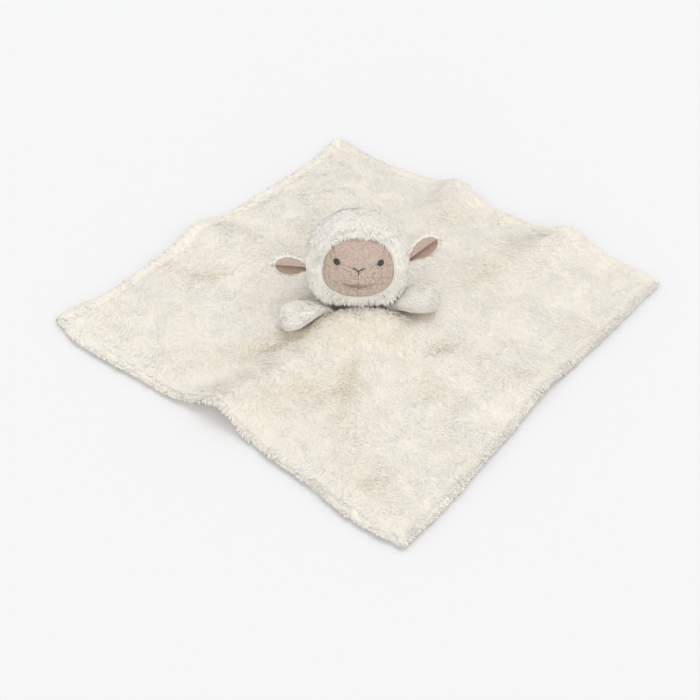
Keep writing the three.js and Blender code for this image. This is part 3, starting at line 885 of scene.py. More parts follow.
# The blanket's pile, in four quarters of the top and a rim for each layer

blanketPile = {
    "spacing": 0.00112, "density": 1500000.0, "seed": 11, "patch": 0.010, "swirl": 1.5,
    "jitter": 0.35, "lean": 4.0, "leanLeast": 0.8, "width": 0.0017, "length": 0.0044,
    "softness": 3.0, "towards": (0.0, 0.0, 0.0), "bedding": 0.0003, "bakeSpot": 0.0015,
    "clump": 0.35, "clumpSize": 0.016, "clumpSeed": 23,
}
rimPile = dict(
    blanketPile, spacing=0.00105, seed=31, length=0.0030, width=0.0016, swirl=0.8, lean=4.2,
    leanLeast=0.7, towards=(0.0, 0.0, 1.2), clump=0.4, clumpSize=0.012, clumpSeed=29,
)
# Where the top's pile begins and the rim's ends, how the nap turns over the edge, and how it
# lies elsewhere: its main heading in degrees, and the size and strength of its slow turns
edgePile = {
    "topFrom": 0.004, "rimTo": 0.006, "turnFrom": 0.022, "outward": 1.5, "least": 0.0016,
    "topFacing": 0.2, "rimFacing": (-0.5, 0.3),
    "down": np.array([0.0, 0.0, -0.8]), "aslant": 0.3, "along": 1.3,
}
napLie = {"heading": -60, "turnSize": 0.075, "turn": 0.9}
chinTufts = {
    "across": 0.036, "behind": 0.005, "deep": 0.009, "upright": 0.6, "longer": 0.55,
    "nap": np.array([0.0, 1.3, 0.0]), "towards": np.array([0.0, -0.5, 1.5]),
}
floorRise = 0.0003  # the least height of a tuft by the edge, so that it lies on the floor


# About how far inside the blanket's square a place in plan is
def insetOf(x, y):
    p, q = (x + halfDiagonal - y) / math.sqrt(2), (x + halfDiagonal + y) / math.sqrt(2)
    return edgeDistance(p, q)


# The way to the nearest edge, in plan
def towardsEdge(x, y):
    return stack(np.sign(x), np.sign(y), 0.0) / math.sqrt(2)


# The nap's lie over the blanket, in slowly turning patches
def flatNap(places):
    turn = napLie["turn"] * softNoise(places, napLie["turnSize"], 21)
    turn = turn + math.radians(napLie["heading"])
    return stack(np.cos(turn), np.sin(turn), 0.0)


# From 1 where the nap lies smooth to less where it is ruffled: in creases, on the flanks of the
# folds, round the neck and in stray patches
def calmness(x, y):
    step = ruffling["slopeStep"]
    slope = np.hypot(foldLift(x + step, y) - foldLift(x - step, y),
                     foldLift(x, y + step) - foldLift(x, y - step)) / (2 * step)
    stray = softNoise(stack(x, y, 0.0), ruffling["straySize"], 25)
    near = bell(fromNeck(x, y), ruffling["neckReach"])
    ruffled = creaseSum(x, y, "ruffle", ruffling["wider"]) + slope / ruffling["slope"]
    ruffled = ruffled + near * ruffling["neck"]
    ruffled = ruffled + smoothstep(*ruffling["strayRange"], stray) * ruffling["stray"]
    return 1.0 - ruffling["most"] * np.clip(ruffled, 0, 1)


# How far behind the fold's crest, under the chin, where the pile stands up and towards the head
def chinShare(x, y):
    return np.exp(-((x - mound["x"]) / chinTufts["across"]) ** 2
                  - ((y - mound["y"] - chinTufts["behind"]) / chinTufts["deep"]) ** 2)


def layOnFloor(pile):
    places = placesOf(pile)
    places[:, 2] = np.maximum(places[:, 2], floorRise)
    setPlaces(pile, places)
    dress(pile, "plushPile", "blanket")
    return pile


def growQuarter(label, index, inQuarter):
    def wanted(centres, normals):
        x, y, _ = centres.T
        facing = normals[:, 2] > edgePile["topFacing"]
        return inQuarter(x, y) & facing & (insetOf(x, y) > edgePile["topFrom"])

    ground, places, _ = groundOf(blanketTopLayer, wanted)
    x, y, _ = places.T
    chin, calm = chinShare(x, y), calmness(x, y)
    # Near the edge the nap turns outwards, over the rim
    edge = smoothstep(edgePile["turnFrom"], edgePile["topFrom"], insetOf(x, y))
    nap = flatNap(places) * (1 - chin[:, None]) + chinTufts["nap"] * chin[:, None]
    outward = towardsEdge(x, y) * edge[:, None] * edgePile["outward"]
    towards = chin[:, None] * chinTufts["towards"]
    bare = [neck["radius"] * share for share in neck["bareShares"]]
    return layOnFloor(growPile(
        f"blanketPile{label}", ground,
        dict(blanketPile, seed=blanketPile["seed"] + index, towards=towards),
        nap=nap * (1 - edge[:, None]) + outward, calm=calm + (1 - calm) * edge,
        lean=1.0 - chinTufts["upright"] * chin,
        share=smoothstep(*bare, fromNeck(x, y)),
        length=1.0 + clumpsAt(places, blanketPile) + chinTufts["longer"] * chin,
    ))


def growRim(label, layer, isTop):
    def wanted(centres, normals):
        up, (least, most) = normals[:, 2], edgePile["rimFacing"]
        facing = up > least if isTop else up < most
        x, y, z = centres.T
        return (insetOf(x, y) < edgePile["rimTo"]) & facing & (z > edgePile["least"])

    ground, places, _ = groundOf(layer, wanted)
    outward = towardsEdge(places[:, 0], places[:, 1])
    # Over the edge on the top layer, and along it on the other
    alongEdge = stack(-outward[:, 1], outward[:, 0], 0.0)
    over = outward + edgePile["down"] + alongEdge * edgePile["aslant"]
    return layOnFloor(growPile(
        f"rimPile{label}", ground, dict(rimPile, seed=rimPile["seed"] + isTop),
        nap=over if isTop else alongEdge * edgePile["along"],
        length=1.0 + clumpsAt(places, rimPile),
    ))


quarters = {
    "Front": lambda x, y: y < -np.abs(x),
    "Back": lambda x, y: y >= np.abs(x),
    "Left": lambda x, y: (x < 0) & (np.abs(y) <= -x),
    "Right": lambda x, y: (x >= 0) & (y >= -x) & (y < x),
}
blanketPiles = [
    growQuarter(label, index, quarters[label]) for index, label in enumerate(quarters)
]
rimPiles = [growRim("Top", blanketTopLayer, True), growRim("Under", blanketUnderLayer, False)]


# The head: a ball with a swollen muzzle, in its own frame with the face towards -Y

head = {
    "radii": (0.044, 0.041, 0.042), "centre": (-0.0055, -0.0013, 0.054563),
    "muzzleRise": 0.007, "muzzleWidthShare": 0.55, "muzzleHeightShare": 0.42,
    "muzzleDropShare": 0.3, "pitch": 21.5, "yaw": -4.5, "roll": 2.0,
    "hoodOuter": -0.0024, "hoodInner": -0.0056, "puff": 0.0014, "flare": 0.0042,
    "flareBeside": (0.2, 0.65), "flareHeight": -0.58, "flareSpread": 0.36, "puffFade": 0.010,
    "gather": 1.4, "rimShare": 1.3, "lumps": 0.0010, "lumpSize": 0.017, "lumpFade": 0.006,
    "softness": 0.8, "faceOuter": -0.0043, "faceInner": -0.0060,
    "around": 160, "rings": 120,
}
headCentre, headWidth = np.array(head["centre"]), head["radii"][0]
face = {
    "halfWidth": 0.030, "halfHeight": 0.024, "eyeSpread": 0.0182, "eyeHeight": 0.0046,
    "eyeRadius": 0.0027, "eyeDome": 0.0014, "noseDrop": 0.0009, "noseReach": 0.0052,
    "noseLift": 0.0031, "noseStem": 0.0034,
}
faceOutlineShares = [
    (0, 1), (0.4, 0.94), (0.72, 0.71), (0.92, 0.3), (1, -0.22),
    (0.95, -0.62), (0.78, -0.93), (0.44, -1.09), (0, -1.13),
]
gussetShares = {"side": 0.7, "top": 0.62, "spread": 1.15}
headTurn = np.array(
    Matrix.Rotation(math.radians(head["yaw"]), 3, "Z")
    @ Matrix.Rotation(math.radians(-head["pitch"]), 3, "X")
    @ Matrix.Rotation(math.radians(head["roll"]), 3, "Y")
)


def fromHead(places):
    return places @ headTurn.T + headCentre


def intoHead(places):
    return (places - headCentre) @ headTurn


def formReach(directions, offset):
    x, y, z = np.moveaxis(directions, -1, 0)
    wide, deep, high = head["radii"]
    reach = 1 / np.sqrt((x / wide) ** 2 + (y / deep) ** 2 + (z / high) ** 2)
    across = x / head["muzzleWidthShare"]
    above = (z + head["muzzleDropShare"]) / head["muzzleHeightShare"]
    muzzle = np.maximum(0, -y) * head["muzzleRise"] * np.exp(-across ** 2 - above ** 2)
    return reach + offset + muzzle


# Points of the form in front of places in the face's own plane, x across and z up
def facePlaces(x, z, offset):
    y = np.full_like(x, -head["radii"][1])
    for _ in range(30):
        reach = formReach(unit(stack(x, y, z)), offset)
        y = -np.sqrt(np.maximum(0, reach ** 2 - x ** 2 - z ** 2))
    return stack(x, y, z)


# A closed smooth outline through points, as dense points
def closedOutline(points, steps=12):
    points = np.array(points, float)
    before, after, beyond = (np.roll(points, k, axis=0) for k in (1, -1, -2))
    dense = []
    for p0, p1, p2, p3 in zip(before, points, after, beyond):
        for u in np.arange(steps) / steps:
            dense.append(0.5 * (
                2 * p1 + (p2 - p0) * u + (2 * p0 - 5 * p1 + 4 * p2 - p3) * u ** 2
                + (3 * p1 - p0 - 3 * p2 + p3) * u ** 3
            ))
    return np.array(dense)


def mirrored(points):
    return [(-x, z) for x, z in reversed(points)]


rightOutline = [(x * face["halfWidth"], z * face["halfHeight"]) for x, z in faceOutlineShares]
faceEdge = closedOutline(rightOutline + mirrored(rightOutline[1:-1]))
gussetSide = gussetShares["side"] * face["halfWidth"]
gussetRight = [
    (face["eyeSpread"], face["eyeHeight"]),
    (gussetSide, gussetShares["top"] * face["halfHeight"]),
    (gussetShares["spread"] * gussetSide, 2 * face["halfHeight"]),
]
gussetEdge = np.array([(0, -face["noseDrop"])] + gussetRight + mirrored(gussetRight))


# Distance from a middle to an outline, along each of some angles
def reachTo(outline, middle, angles):
    starts, ends = outline - middle, np.roll(outline, -1, axis=0) - middle
    runs = ends - starts
    nearest = np.full(len(angles), np.inf)
    for k, angle in enumerate(angles):
        ray = np.array([math.cos(angle), math.sin(angle)])
        cross = ray[0] * runs[:, 1] - ray[1] * runs[:, 0]
        cross = np.where(np.abs(cross) < 1e-15, 1e-15, cross)
        away = (starts[:, 0] * runs[:, 1] - starts[:, 1] * runs[:, 0]) / cross
        share = (starts[:, 0] * ray[1] - starts[:, 1] * ray[0]) / cross
        hits = away[(away > 0) & (share >= -1e-9) & (share <= 1 + 1e-9)]
        if len(hits):
            nearest[k] = hits.min()
    return nearest


def reachToEdge(turns):
    return reachTo(faceEdge, np.zeros(2), turns)


# A grid closed into a ball, once around it across the grid and from pole to pole up the grid.
# The rule is given each point's turn and its share of the way from the first pole to the last.
def shapedBall(name, around, rings, shape):
    deselectAll()
    bpy.ops.mesh.primitive_grid_add(x_subdivisions=around, y_subdivisions=rings, size=1.0)
    piece = named(name)
    piece.data.uv_layers[0].name = "flatUV"
    across, up, _ = np.round(placesOf(piece), 6).T
    setPlaces(piece, shape(across * 2 * math.pi, up + 0.5))
    finishFaces(piece)
    return piece


# From -1 to 1 across a sheet's thickness, rounded over at its rim
def roundedSide(side, fromRim, rounding):
    near = 1 - np.clip(fromRim / rounding, 0, 1)
    return side * np.sqrt(1 - near ** 2)


def rimPolar(turns):
    flat = reachToEdge(turns)
    places = facePlaces(flat * np.cos(turns), flat * np.sin(turns), head["faceOuter"])
    return np.arctan2(flat, -places[:, 1])


# How far the hood's fleece puffs out past the form, most of all low at its sides
def hoodPuff(directions):
    beside = smoothstep(*head["flareBeside"], np.abs(directions[..., 0]))
    low = bell(directions[..., 2] - head["flareHeight"], head["flareSpread"])
    return head["puff"] + head["flare"] * beside * low


def hoodShape(turns, share):
    side, progress = np.sign(share - 0.5), np.abs(2 * share - 1)
    rim = rimPolar(turns)
    polar = rim + (math.pi - rim) * progress ** head["gather"]
    fromRim = (polar - rim) * headWidth
    middle = (head["hoodOuter"] + head["hoodInner"]) / 2
    thick = (head["hoodOuter"] - head["hoodInner"]) / 2
    offset = middle + thick * roundedSide(side, fromRim, thick * head["rimShare"])
    directions = stack(
        np.sin(polar) * np.cos(turns), -np.cos(polar), np.sin(polar) * np.sin(turns))
    outer = side > 0
    lumps = softNoise(directions * headWidth, head["lumpSize"], 41) * head["lumps"] * outer
    offset = offset + lumps * np.clip(fromRim / head["lumpFade"], 0, 1)
    offset = offset + hoodPuff(directions) * outer * smoothstep(0.0, head["puffFade"], fromRim)
    return fromHead(directions * formReach(directions, offset)[:, None])


hood = shapedBall("hood", head["around"], head["rings"], hoodShape)
dress(hood, "fleeceBase", "head", ["head_fleece_left", "head_fleece_right"])
print("stage: hood made")


# The face's three panels. Their seams sink in, and a crease under the muzzle is the mouth.

facePanels = {
    "around": 128, "rings": 96, "rounding": 0.0002, "seamSink": 0.00016, "seamReach": 0.0020,
    "mouthHeight": -0.0142, "mouthRise": 0.0014, "mouthReach": 0.0145, "mouthMiddle": -0.0015,
    "mouthWidth": 0.0021, "mouthDepth": 0.0034, "lipRise": 0.0014, "apart": 0.00003,
    "dash": -0.0108, "dashWidth": 0.0006, "dashLength": 0.0014, "edgeReach": 0.0011,
    "puff": 0.0004, "puffSize": 0.011, "mouthEnd": 1.25, "lipAway": 2.6, "lipWidth": 1.8,
    "shadeDrop": 0.0003, "shadeWidth": 0.8, "mouthShade": 0.9, "edgeShade": 0.7,
    "edgeTop": -0.012, "browMiddle": (0, 0.011), "cheekMiddle": (0.0165, -0.009),
}


# The height of the mouth's line, and how far it is present
def mouthLine(x):
    along = (x - facePanels["mouthMiddle"]) / facePanels["mouthReach"]
    line = facePanels["mouthHeight"] + facePanels["mouthRise"] * along ** 2
    return line, np.clip(facePanels["mouthEnd"] - np.abs(along), 0, 1)


def mouthRelief(x, z):
    line, present = mouthLine(x)
    away = (z - line) / facePanels["mouthWidth"]
    crease = -facePanels["mouthDepth"] * bell(away)
    lip = bell(away - facePanels["lipAway"], facePanels["lipWidth"])
    return (crease + facePanels["lipRise"] * lip) * present


# Painted shade, deepest in the mouth and along the face's lower edge; also a darker dash over the
# mouth
def mouthShade(x, z):
    line, present = mouthLine(x)
    wide = facePanels["mouthWidth"] * facePanels["shadeWidth"]
    mouth = present * bell(z - line + facePanels["shadeDrop"], wide) * facePanels["mouthShade"]
    dash = (x / facePanels["dashWidth"]) ** 2
    dash = dash + ((z - facePanels["dash"]) / facePanels["dashLength"]) ** 2
    fromEdge = reachToEdge(np.arctan2(z, x)) - np.hypot(x, z)
    edge = bell(fromEdge, facePanels["edgeReach"])
    edge = edge * smoothstep(0.0, facePanels["edgeTop"], z) * facePanels["edgeShade"]
    return np.maximum(np.maximum(mouth, np.exp(-dash)), edge)


def makePanel(name, middle, outlines, finish, replaced):
    middle = np.array(middle)

    def shape(turns, share):
        side, progress = np.sign(0.5 - share), np.sin(math.pi * share)
        reach = np.min([reachTo(outline, middle, turns) for outline in outlines], axis=0)
        reach = reach - facePanels["apart"]
        x = middle[0] + progress * reach * np.cos(turns)
        z = middle[1] + progress * reach * np.sin(turns)
        fromRim = (1 - progress) * reach
        centre = (head["faceOuter"] + head["faceInner"]) / 2
        thick = (head["faceOuter"] - head["faceInner"]) / 2
        offset = centre + thick * roundedSide(side, fromRim, facePanels["rounding"])
        sink = bell(fromRim, facePanels["seamReach"]) * facePanels["seamSink"]
        puff = softNoise(stack(x, 0.0, z), facePanels["puffSize"], 47) * facePanels["puff"]
        offset = offset + (mouthRelief(x, z) - sink + puff) * (side > 0)
        return fromHead(facePlaces(x, z, offset))

    panel = shapedBall(name, facePanels["around"], facePanels["rings"], shape)
    x, _, z = intoHead(placesOf(panel)).T
    # Painted shade for the velour: in the mouth, along the lower edge, and the dash
    store(panel, deep=mouthShade(x, z))
    dress(panel, finish, "head", [replaced])


makePanel("faceForehead", facePanels["browMiddle"], [faceEdge, gussetEdge], "velourBrow",
          "face_forehead")
for label, side in (("Left", -1), ("Right", 1)):
    half = np.array([(0, -0.1), (side * 0.1, -0.1), (side * 0.1, 0.1), (0, 0.1)])
    x, z = facePanels["cheekMiddle"]
    makePanel(f"faceCheek{label}", (side * x, z), [faceEdge, gussetEdge, half], "velourCheek",
              f"face_cheek_{label.lower()}")
print("stage: face panels made")


# One stitch, modelled once, and laid along a line on a surface

def makeStitch():
    deselectAll()
    bpy.ops.mesh.primitive_uv_sphere_add(segments=6, ring_count=6, radius=1.0)
    stitch = named("stitchModel")
    x, y, z = placesOf(stitch).T
    along = np.arccos(np.clip(z, -1, 1)) / math.pi
    around = np.arctan2(y, x)
    girth = np.sin(math.pi * along) ** 0.45
    setPlaces(stitch, stack(along, np.cos(around) * girth, np.sin(around) * girth))
    return stitch


stitchModel = makeStitch()
stitchShares = placesOf(stitchModel)


# The rule gives, for shares of the way along, a place, and the sideways and upward directions
def layStitch(line, values):
    stitch = copyOf(stitchModel, "stitch")
    place, sideways, upward = line(stitchShares[:, 0])
    setPlaces(stitch, place + sideways * (stitchShares[:, 1:2] * values["width"] / 2)
              + upward * (stitchShares[:, 2:3] * values["height"] / 2))
    return stitch


def joinAll(name, things):
    deselectAll()
    for thing in things:
        thing.select_set(True)
    bpy.context.view_layer.objects.active = things[0]
    bpy.ops.object.join()
    joined = named(name)
    finishFaces(joined)
    return joined


# A line on the face between two places of its plane, with the face's own outward direction
def faceLine(start, end, rise):
    start, end = np.array(start), np.array(end)

    def line(share):
        flat = start + (end - start) * share[:, None]
        place = facePlaces(flat[:, 0], flat[:, 1], head["faceOuter"] + rise(flat, share))
        outward = unit(place)
        sideways = unit(np.cross(outward, [end[0] - start[0], 0, end[1] - start[1]]))
        return fromHead(place), sideways @ headTurn.T, outward @ headTurn.T

    return line


eyeStitch = {
    "count": 9, "width": 0.00085, "height": 0.0007, "lean": 0.10, "sunk": -0.0006,
    "spread": 0.92, "core": 0.93, "domeShare": 0.8, "rise": 0.0002,
}


def makeEye(name, side, replaced):
    middle, radius = np.array([side * face["eyeSpread"], face["eyeHeight"]]), face["eyeRadius"]

    def dome(flat, share):
        away = np.linalg.norm(flat - middle, axis=1) / radius
        high = face["eyeDome"] * np.sqrt(np.maximum(0, 1 - away ** 2)) * eyeStitch["domeShare"]
        return high + eyeStitch["rise"]

    rows = []
    for k in range(eyeStitch["count"]):
        across = (2 * (k + 0.5) / eyeStitch["count"] - 1) * eyeStitch["spread"]
        half = radius * math.sqrt(1 - across ** 2)
        x = middle[0] + across * radius
        lean = side * eyeStitch["lean"] * half
        line = faceLine((x - lean, middle[1] - half), (x + lean, middle[1] + half), dome)
        rows.append(layStitch(line, eyeStitch))
    deselectAll()
    bpy.ops.mesh.primitive_uv_sphere_add(segments=24, ring_count=12, radius=1.0)
    core = named("eyeCore")
    places = placesOf(core)
    flat = middle + places[:, [0, 2]] * radius * eyeStitch["core"]
    raised = np.where(places[:, 1] < 0, dome(flat, None), eyeStitch["sunk"])
    setPlaces(core, fromHead(facePlaces(flat[:, 0], flat[:, 1], head["faceOuter"] + raised)))
    dress(joinAll(name, [core] + rows), "eyeThread", "head", [replaced])


makeEye("eyeLeft", -1, "eye_left")
makeEye("eyeRight", 1, "eye_right")

noseStitch = {
    "strands": 3, "width": 0.00050, "height": 0.0006, "spread": 0.00034, "endSpread": 0.4,
    "overlap": 0.0003, "rise": 0.00025, "arch": 0.0003,
}


def makeNose():
    def rise(flat, share):
        return noseStitch["rise"] + noseStitch["arch"] * np.sin(math.pi * share)

    meeting = np.array([0.0, -face["noseDrop"]])
    high = face["noseLift"] - face["noseDrop"]
    ends = [(-face["noseReach"], high), (face["noseReach"], high),
            (0.0, -face["noseDrop"] - face["noseStem"])]
    strands = []
    for end in np.array(ends):
        run = (end - meeting) / np.linalg.norm(end - meeting)
        across = np.array([-run[1], run[0]])
        for k in range(noseStitch["strands"]):
            shift = across * (k - (noseStitch["strands"] - 1) / 2) * noseStitch["spread"]
            line = faceLine(meeting + shift - run * noseStitch["overlap"],
                            end + shift * noseStitch["endSpread"], rise)
            strands.append(layStitch(line, noseStitch))
    dress(joinAll("nose", strands), "noseThread", "head", ["nose_embroidery"])


makeNose()
print("stage: eyes and nose stitched")


# Ears: a fleece back with a velour lining, folded along its middle so that the upper half
# hangs a little over the lower one

ear = {
    "length": 0.0235, "halfWidth": 0.009, "rootRadius": 0.005, "rootReach": 0.0030,
    "fleece": 0.0020, "lining": 0.0012, "inset": 0.0012, "clearance": 0.0003,
    "bulge": 0.0022, "pocket": 0.0036, "crease": 0.04, "creaseWidth": 0.045, "cells": (44, 40),
    "liningLeastShare": 0.4, "bend": (-0.0060, 0.0045), "bow": (0.22, 0.78, 0.7),
    "pocketPower": 1.1, "rimPower": 6, "rimLeast": 0.12, "creaseBlend": 0.06, "shadeReach": 0.4,
}
earAngles = {"Left": 3.0, "Right": 38.0}
earRootShares = {"Left": -0.217, "Right": 0.06}
earWidthShares = [
    (0, 0.42), (0.03, 0.46), (0.08, 0.50), (0.16, 0.565), (0.35, 0.88), (0.52, 1), (0.7, 0.96),
    (0.86, 0.78), (0.95, 0.54), (1, 0.22),
]


def earFrame(label):
    side = -1 if label == "Left" else 1
    rootDirection = np.array([side, 0, earRootShares[label]])
    rootDirection = rootDirection / np.linalg.norm(rootDirection)
    root = rootDirection * formReach(rootDirection, ear["clearance"] + ear["rootRadius"])
    angle = math.radians(earAngles[label])
    along = np.array([side * math.cos(angle), 0, math.sin(angle)])
    across = np.array([-side * math.sin(angle), 0, math.cos(angle)])
    return root, along, across


def makeEarLayer(name, label, front, back, inset, finish, replaced):
    root, along, across = earFrame(label)
    layer = thickGrid(name, ear["cells"], 2.0, 1.0)
    flat = placesOf(layer)
    share = np.sin(flat[:, 0] * math.pi / 2) / 2 + 0.5
    sideways = np.sin(flat[:, 1] * math.pi / 2)
    start = -ear["rootRadius"] - ear["rootReach"]
    run = start + inset + share * (ear["length"] - start - 2 * inset)
    half = ear["halfWidth"] * tableAt(earWidthShares, share)
    width = sideways * np.maximum(half - inset, half * ear["liningLeastShare"])
    # The upper half bulges forwards, and the lower one runs up behind it into a pocket
    low, rest, power = ear["bow"]
    bow = np.sin(math.pi * (low + rest * share)) ** power
    flap = 0.5 + 0.5 * np.tanh((sideways - ear["crease"]) / ear["creaseWidth"])
    bulge = -ear["bulge"] * np.sqrt(np.clip(1 - np.maximum(sideways, 0) ** 2, 0, 1))
    pocket = ear["pocket"] * np.clip(1 + np.minimum(sideways, 0), 0, 1) ** ear["pocketPower"]
    cup = bow * (bulge * flap + pocket * (1 - flap))
    outermost = np.clip(np.maximum(np.abs(sideways), np.abs(2 * share - 1)), 0, 1)
    rounded = np.maximum(np.sqrt(1 - outermost ** ear["rimPower"]), ear["rimLeast"])
    middle, thick = (front + back) / 2, (back - front) / 2
    depth = middle + np.where(flat[:, 2] < 0.5, -1, 1) * thick * rounded
    local = root + along * run[:, None] + across * width[:, None]
    local[:, 1] = cup + depth - ear["lining"]
    setPlaces(layer, fromHead(local))
    finishFaces(layer)
    # Painted shade in the lower half's pocket, under the upper half, darkest near the crease
    away = ((intoHead(placesOf(layer)) - root) @ across) / ear["halfWidth"]
    blend = ear["creaseBlend"]
    pocketPaintedShade = smoothstep(ear["crease"] + blend, ear["crease"] - blend, away)
    creasePaintedShade = bell(np.minimum(away - ear["crease"], 0), ear["shadeReach"])
    store(layer, deep=pocketPaintedShade * (0.5 + 0.5 * creasePaintedShade))
    dress(layer, finish, replaced=[replaced])
    return layer


# Bakes the piece's placement into its mesh. The ends of the ear's root, between the head and the
# ear's own body, are worked out but not used
def bendEar(piece, label):
    root, along, _ = earFrame(label)
    start, end = (fromHead(root + along * reach) for reach in ear["bend"])
    tuple(start)
    tuple(end)
    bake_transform(piece)


def makeEar(label):
    front = ear["lining"] + ear["clearance"]
    return [
        makeEarLayer(f"ear{label}Fleece", label, front, front + ear["fleece"], 0, "fleeceBase",
                     f"ear_{label.lower()}_fleece"),
        makeEarLayer(f"ear{label}Lining", label, 0, ear["lining"], ear["inset"], "velourEar",
                     f"ear_{label.lower()}_lining"),
    ]


earPieces = {label: makeEar(label) for label in ("Left", "Right")}
print("stage: ears made")


# Arms: short stuffed paws that taper to the neck, puffed up by pressure

arms = {
    "length": 0.049, "halfWidth": 0.0174, "halfThickness": 0.0112, "pile": 0.0022,
    "around": 48, "rings": 40, "squareness": 2.25, "fillingDepth": 0.0018, "ease": 0.0006,
    "dimpleShare": 0.72, "dimpleRadius": 0.0065, "dimpleDepth": 0.0024, "lumps": 0.0004,
    "lumpSize": 0.010, "topFrom": (0.010, 0.016), "insetShare": 0.8, "pileShare": 0.7,
    "least": 0.001, "pawPower": 2.4, "rootPower": 6.0, "softness": 0.7,
    "poses": {
        "Left": {"rootAngle": -144.0, "tipTurn": -26.0, "rootReach": 0.032},
        "Right": {"rootAngle": -28.0, "tipTurn": 30.0, "rootReach": 0.024},
    },
}
armWidthShares = [
    (0, 0.72), (0.15, 0.80), (0.35, 0.92), (0.6, 1), (0.74, 1), (0.86, 0.96), (0.95, 0.9),
    (1, 0.85),
]
armThicknessShares = [
    (0, 0.5), (0.2, 0.62), (0.4, 0.85), (0.66, 1.04), (0.8, 1.04), (0.93, 0.95), (1, 0.85),
]
plumping = {"voxel": 0.0026, "pressure": 4.0, "frames": 20, "most": 0.0022}


def plump(piece):
    modify(piece, "REMESH", mode="VOXEL", voxel_size=plumping["voxel"])
    before = placesOf(piece)
    cloth = piece.modifiers.new("puff", "CLOTH")
    cloth.settings.use_pressure = True
    cloth.settings.uniform_pressure_force = plumping["pressure"]
    cloth.settings.effector_weights.gravity = 0.0
    cloth.point_cache.frame_start, cloth.point_cache.frame_end = 1, plumping["frames"]
    for step in range(1, plumping["frames"] + 1):
        bpy.context.scene.frame_set(step)
    applyAll(piece)
    bpy.context.scene.frame_set(1)
    moves = placesOf(piece) - before
    lengths = np.linalg.norm(moves, axis=1, keepdims=True)
    moves *= np.minimum(1, plumping["most"] / np.maximum(lengths, 1e-9))
    setPlaces(piece, before + moves)
    modify(piece, "SUBSURF", levels=1, render_levels=1)


# Keeps a soft piece clear of the head over it and the blanket under it
def keepClear(places, ease):
    local = intoHead(places)
    away = np.linalg.norm(local, axis=1)
    directions = local / away[:, None]
    reach = formReach(directions, np.maximum(ease, head["hoodOuter"] + hoodPuff(directions) + ease))
    local *= np.maximum(1, reach / away)[:, None]
    places = fromHead(local)
    floor = foldLift(places[:, 0], places[:, 1]) + blanketTop + ease
    places[:, 2] = np.maximum(places[:, 2], floor)
    return places


def armMiddle(pose, share):
    turn, root = math.radians(pose["tipTurn"]), math.radians(pose["rootAngle"])
    heading, scale = root + turn * share, arms["length"] / turn
    x = neck["x"] + math.cos(root) * pose["rootReach"] + scale * (np.sin(heading) - math.sin(root))
    y = neck["y"] + math.sin(root) * pose["rootReach"] - scale * (np.cos(heading) - math.cos(root))
    return x, y, heading


def makeArm(label):
    pose, pile = arms["poses"][label], arms["pile"]

    def shape(turns, share):
        run = 0.5 - 0.5 * np.cos(math.pi * share)
        inset = arms["insetShare"]
        run = pile / arms["length"] * inset + run * (1 - 2 * inset * pile / arms["length"])
        # Rounded at the paw, and blunter at the root, which the head covers
        ends = np.abs(2 * share - 1) ** np.where(share > 0.5, arms["pawPower"], arms["rootPower"])
        ends = (1 - ends) ** 0.5
        halfWidth = (arms["halfWidth"] * tableAt(armWidthShares, run) - pile) * ends
        thickness = arms["halfThickness"] * tableAt(armThicknessShares, run)
        halfThickness = np.maximum(thickness - pile * arms["pileShare"], arms["least"]) * ends
        x, y, heading = armMiddle(pose, run)
        across, up = np.cos(turns), np.sin(turns)
        power = arms["squareness"]
        squared = 1 / (np.abs(across) ** power + np.abs(up) ** power) ** (1 / power)
        x = x - np.sin(heading) * halfWidth * across * squared
        y = y + np.cos(heading) * halfWidth * across * squared
        return stack(x, y, neck["z"] + foldLift(x, y) + thickness + halfThickness * up * squared)

    arm = shapedBall(f"arm{label}", arms["around"], arms["rings"], shape)
    plump(arm)
    places = placesOf(arm)
    x, y, _ = armMiddle(pose, arms["dimpleShare"])
    away = np.hypot(places[:, 0] - x, places[:, 1] - y)
    overCloth = places[:, 2] - neck["z"] - foldLift(places[:, 0], places[:, 1])
    dimple = bell(away, arms["dimpleRadius"]) * smoothstep(*arms["topFrom"], overCloth)
    lumps = softNoise(places, arms["lumpSize"], 53) * arms["lumps"]
    places[:, 2] += lumps - arms["dimpleDepth"] * dimple
    setPlaces(arm, keepClear(places, arms["ease"]))
    smooth(arm)
    body = f"arm_{label.lower()}"
    dress(arm, "fleeceBase", body, [f"{body}_upper", f"{body}_lower"])
    filling = copyOf(arm, f"arm{label}Filling")
    setPlaces(filling, placesOf(arm) - normalsOf(arm) * arms["fillingDepth"])
    dress(filling, "filling", body, [f"{body}_filling"])
    return arm


armPieces = {label: makeArm(label) for label in ("Left", "Right")}
print("stage: arms made")


# Fleece on the head, the ears and the arms

hoodPile = dict(
    blanketPile, spacing=0.00090, seed=51, patch=0.011, length=0.0052, width=0.0019, lean=5.0,
    swirl=0.9, jitter=0.30, towards=(0.0, 0.0, 1.1), bakeSpot=0.0025, clump=0.25,
    clumpSize=0.014, clumpSeed=57,
)
armPile = dict(
    hoodPile, seed=61, length=0.0046, width=0.0018, lean=4.5, leanLeast=0.7,
    towards=(0.0, 0.0, 1.3), clumpSize=0.010, clumpSeed=59,
)
earPile = dict(
    hoodPile, seed=71, length=0.0028, width=0.0014, lean=2.0, leanLeast=0.5,
    towards=(0.0, 0.0, 1.3),
)
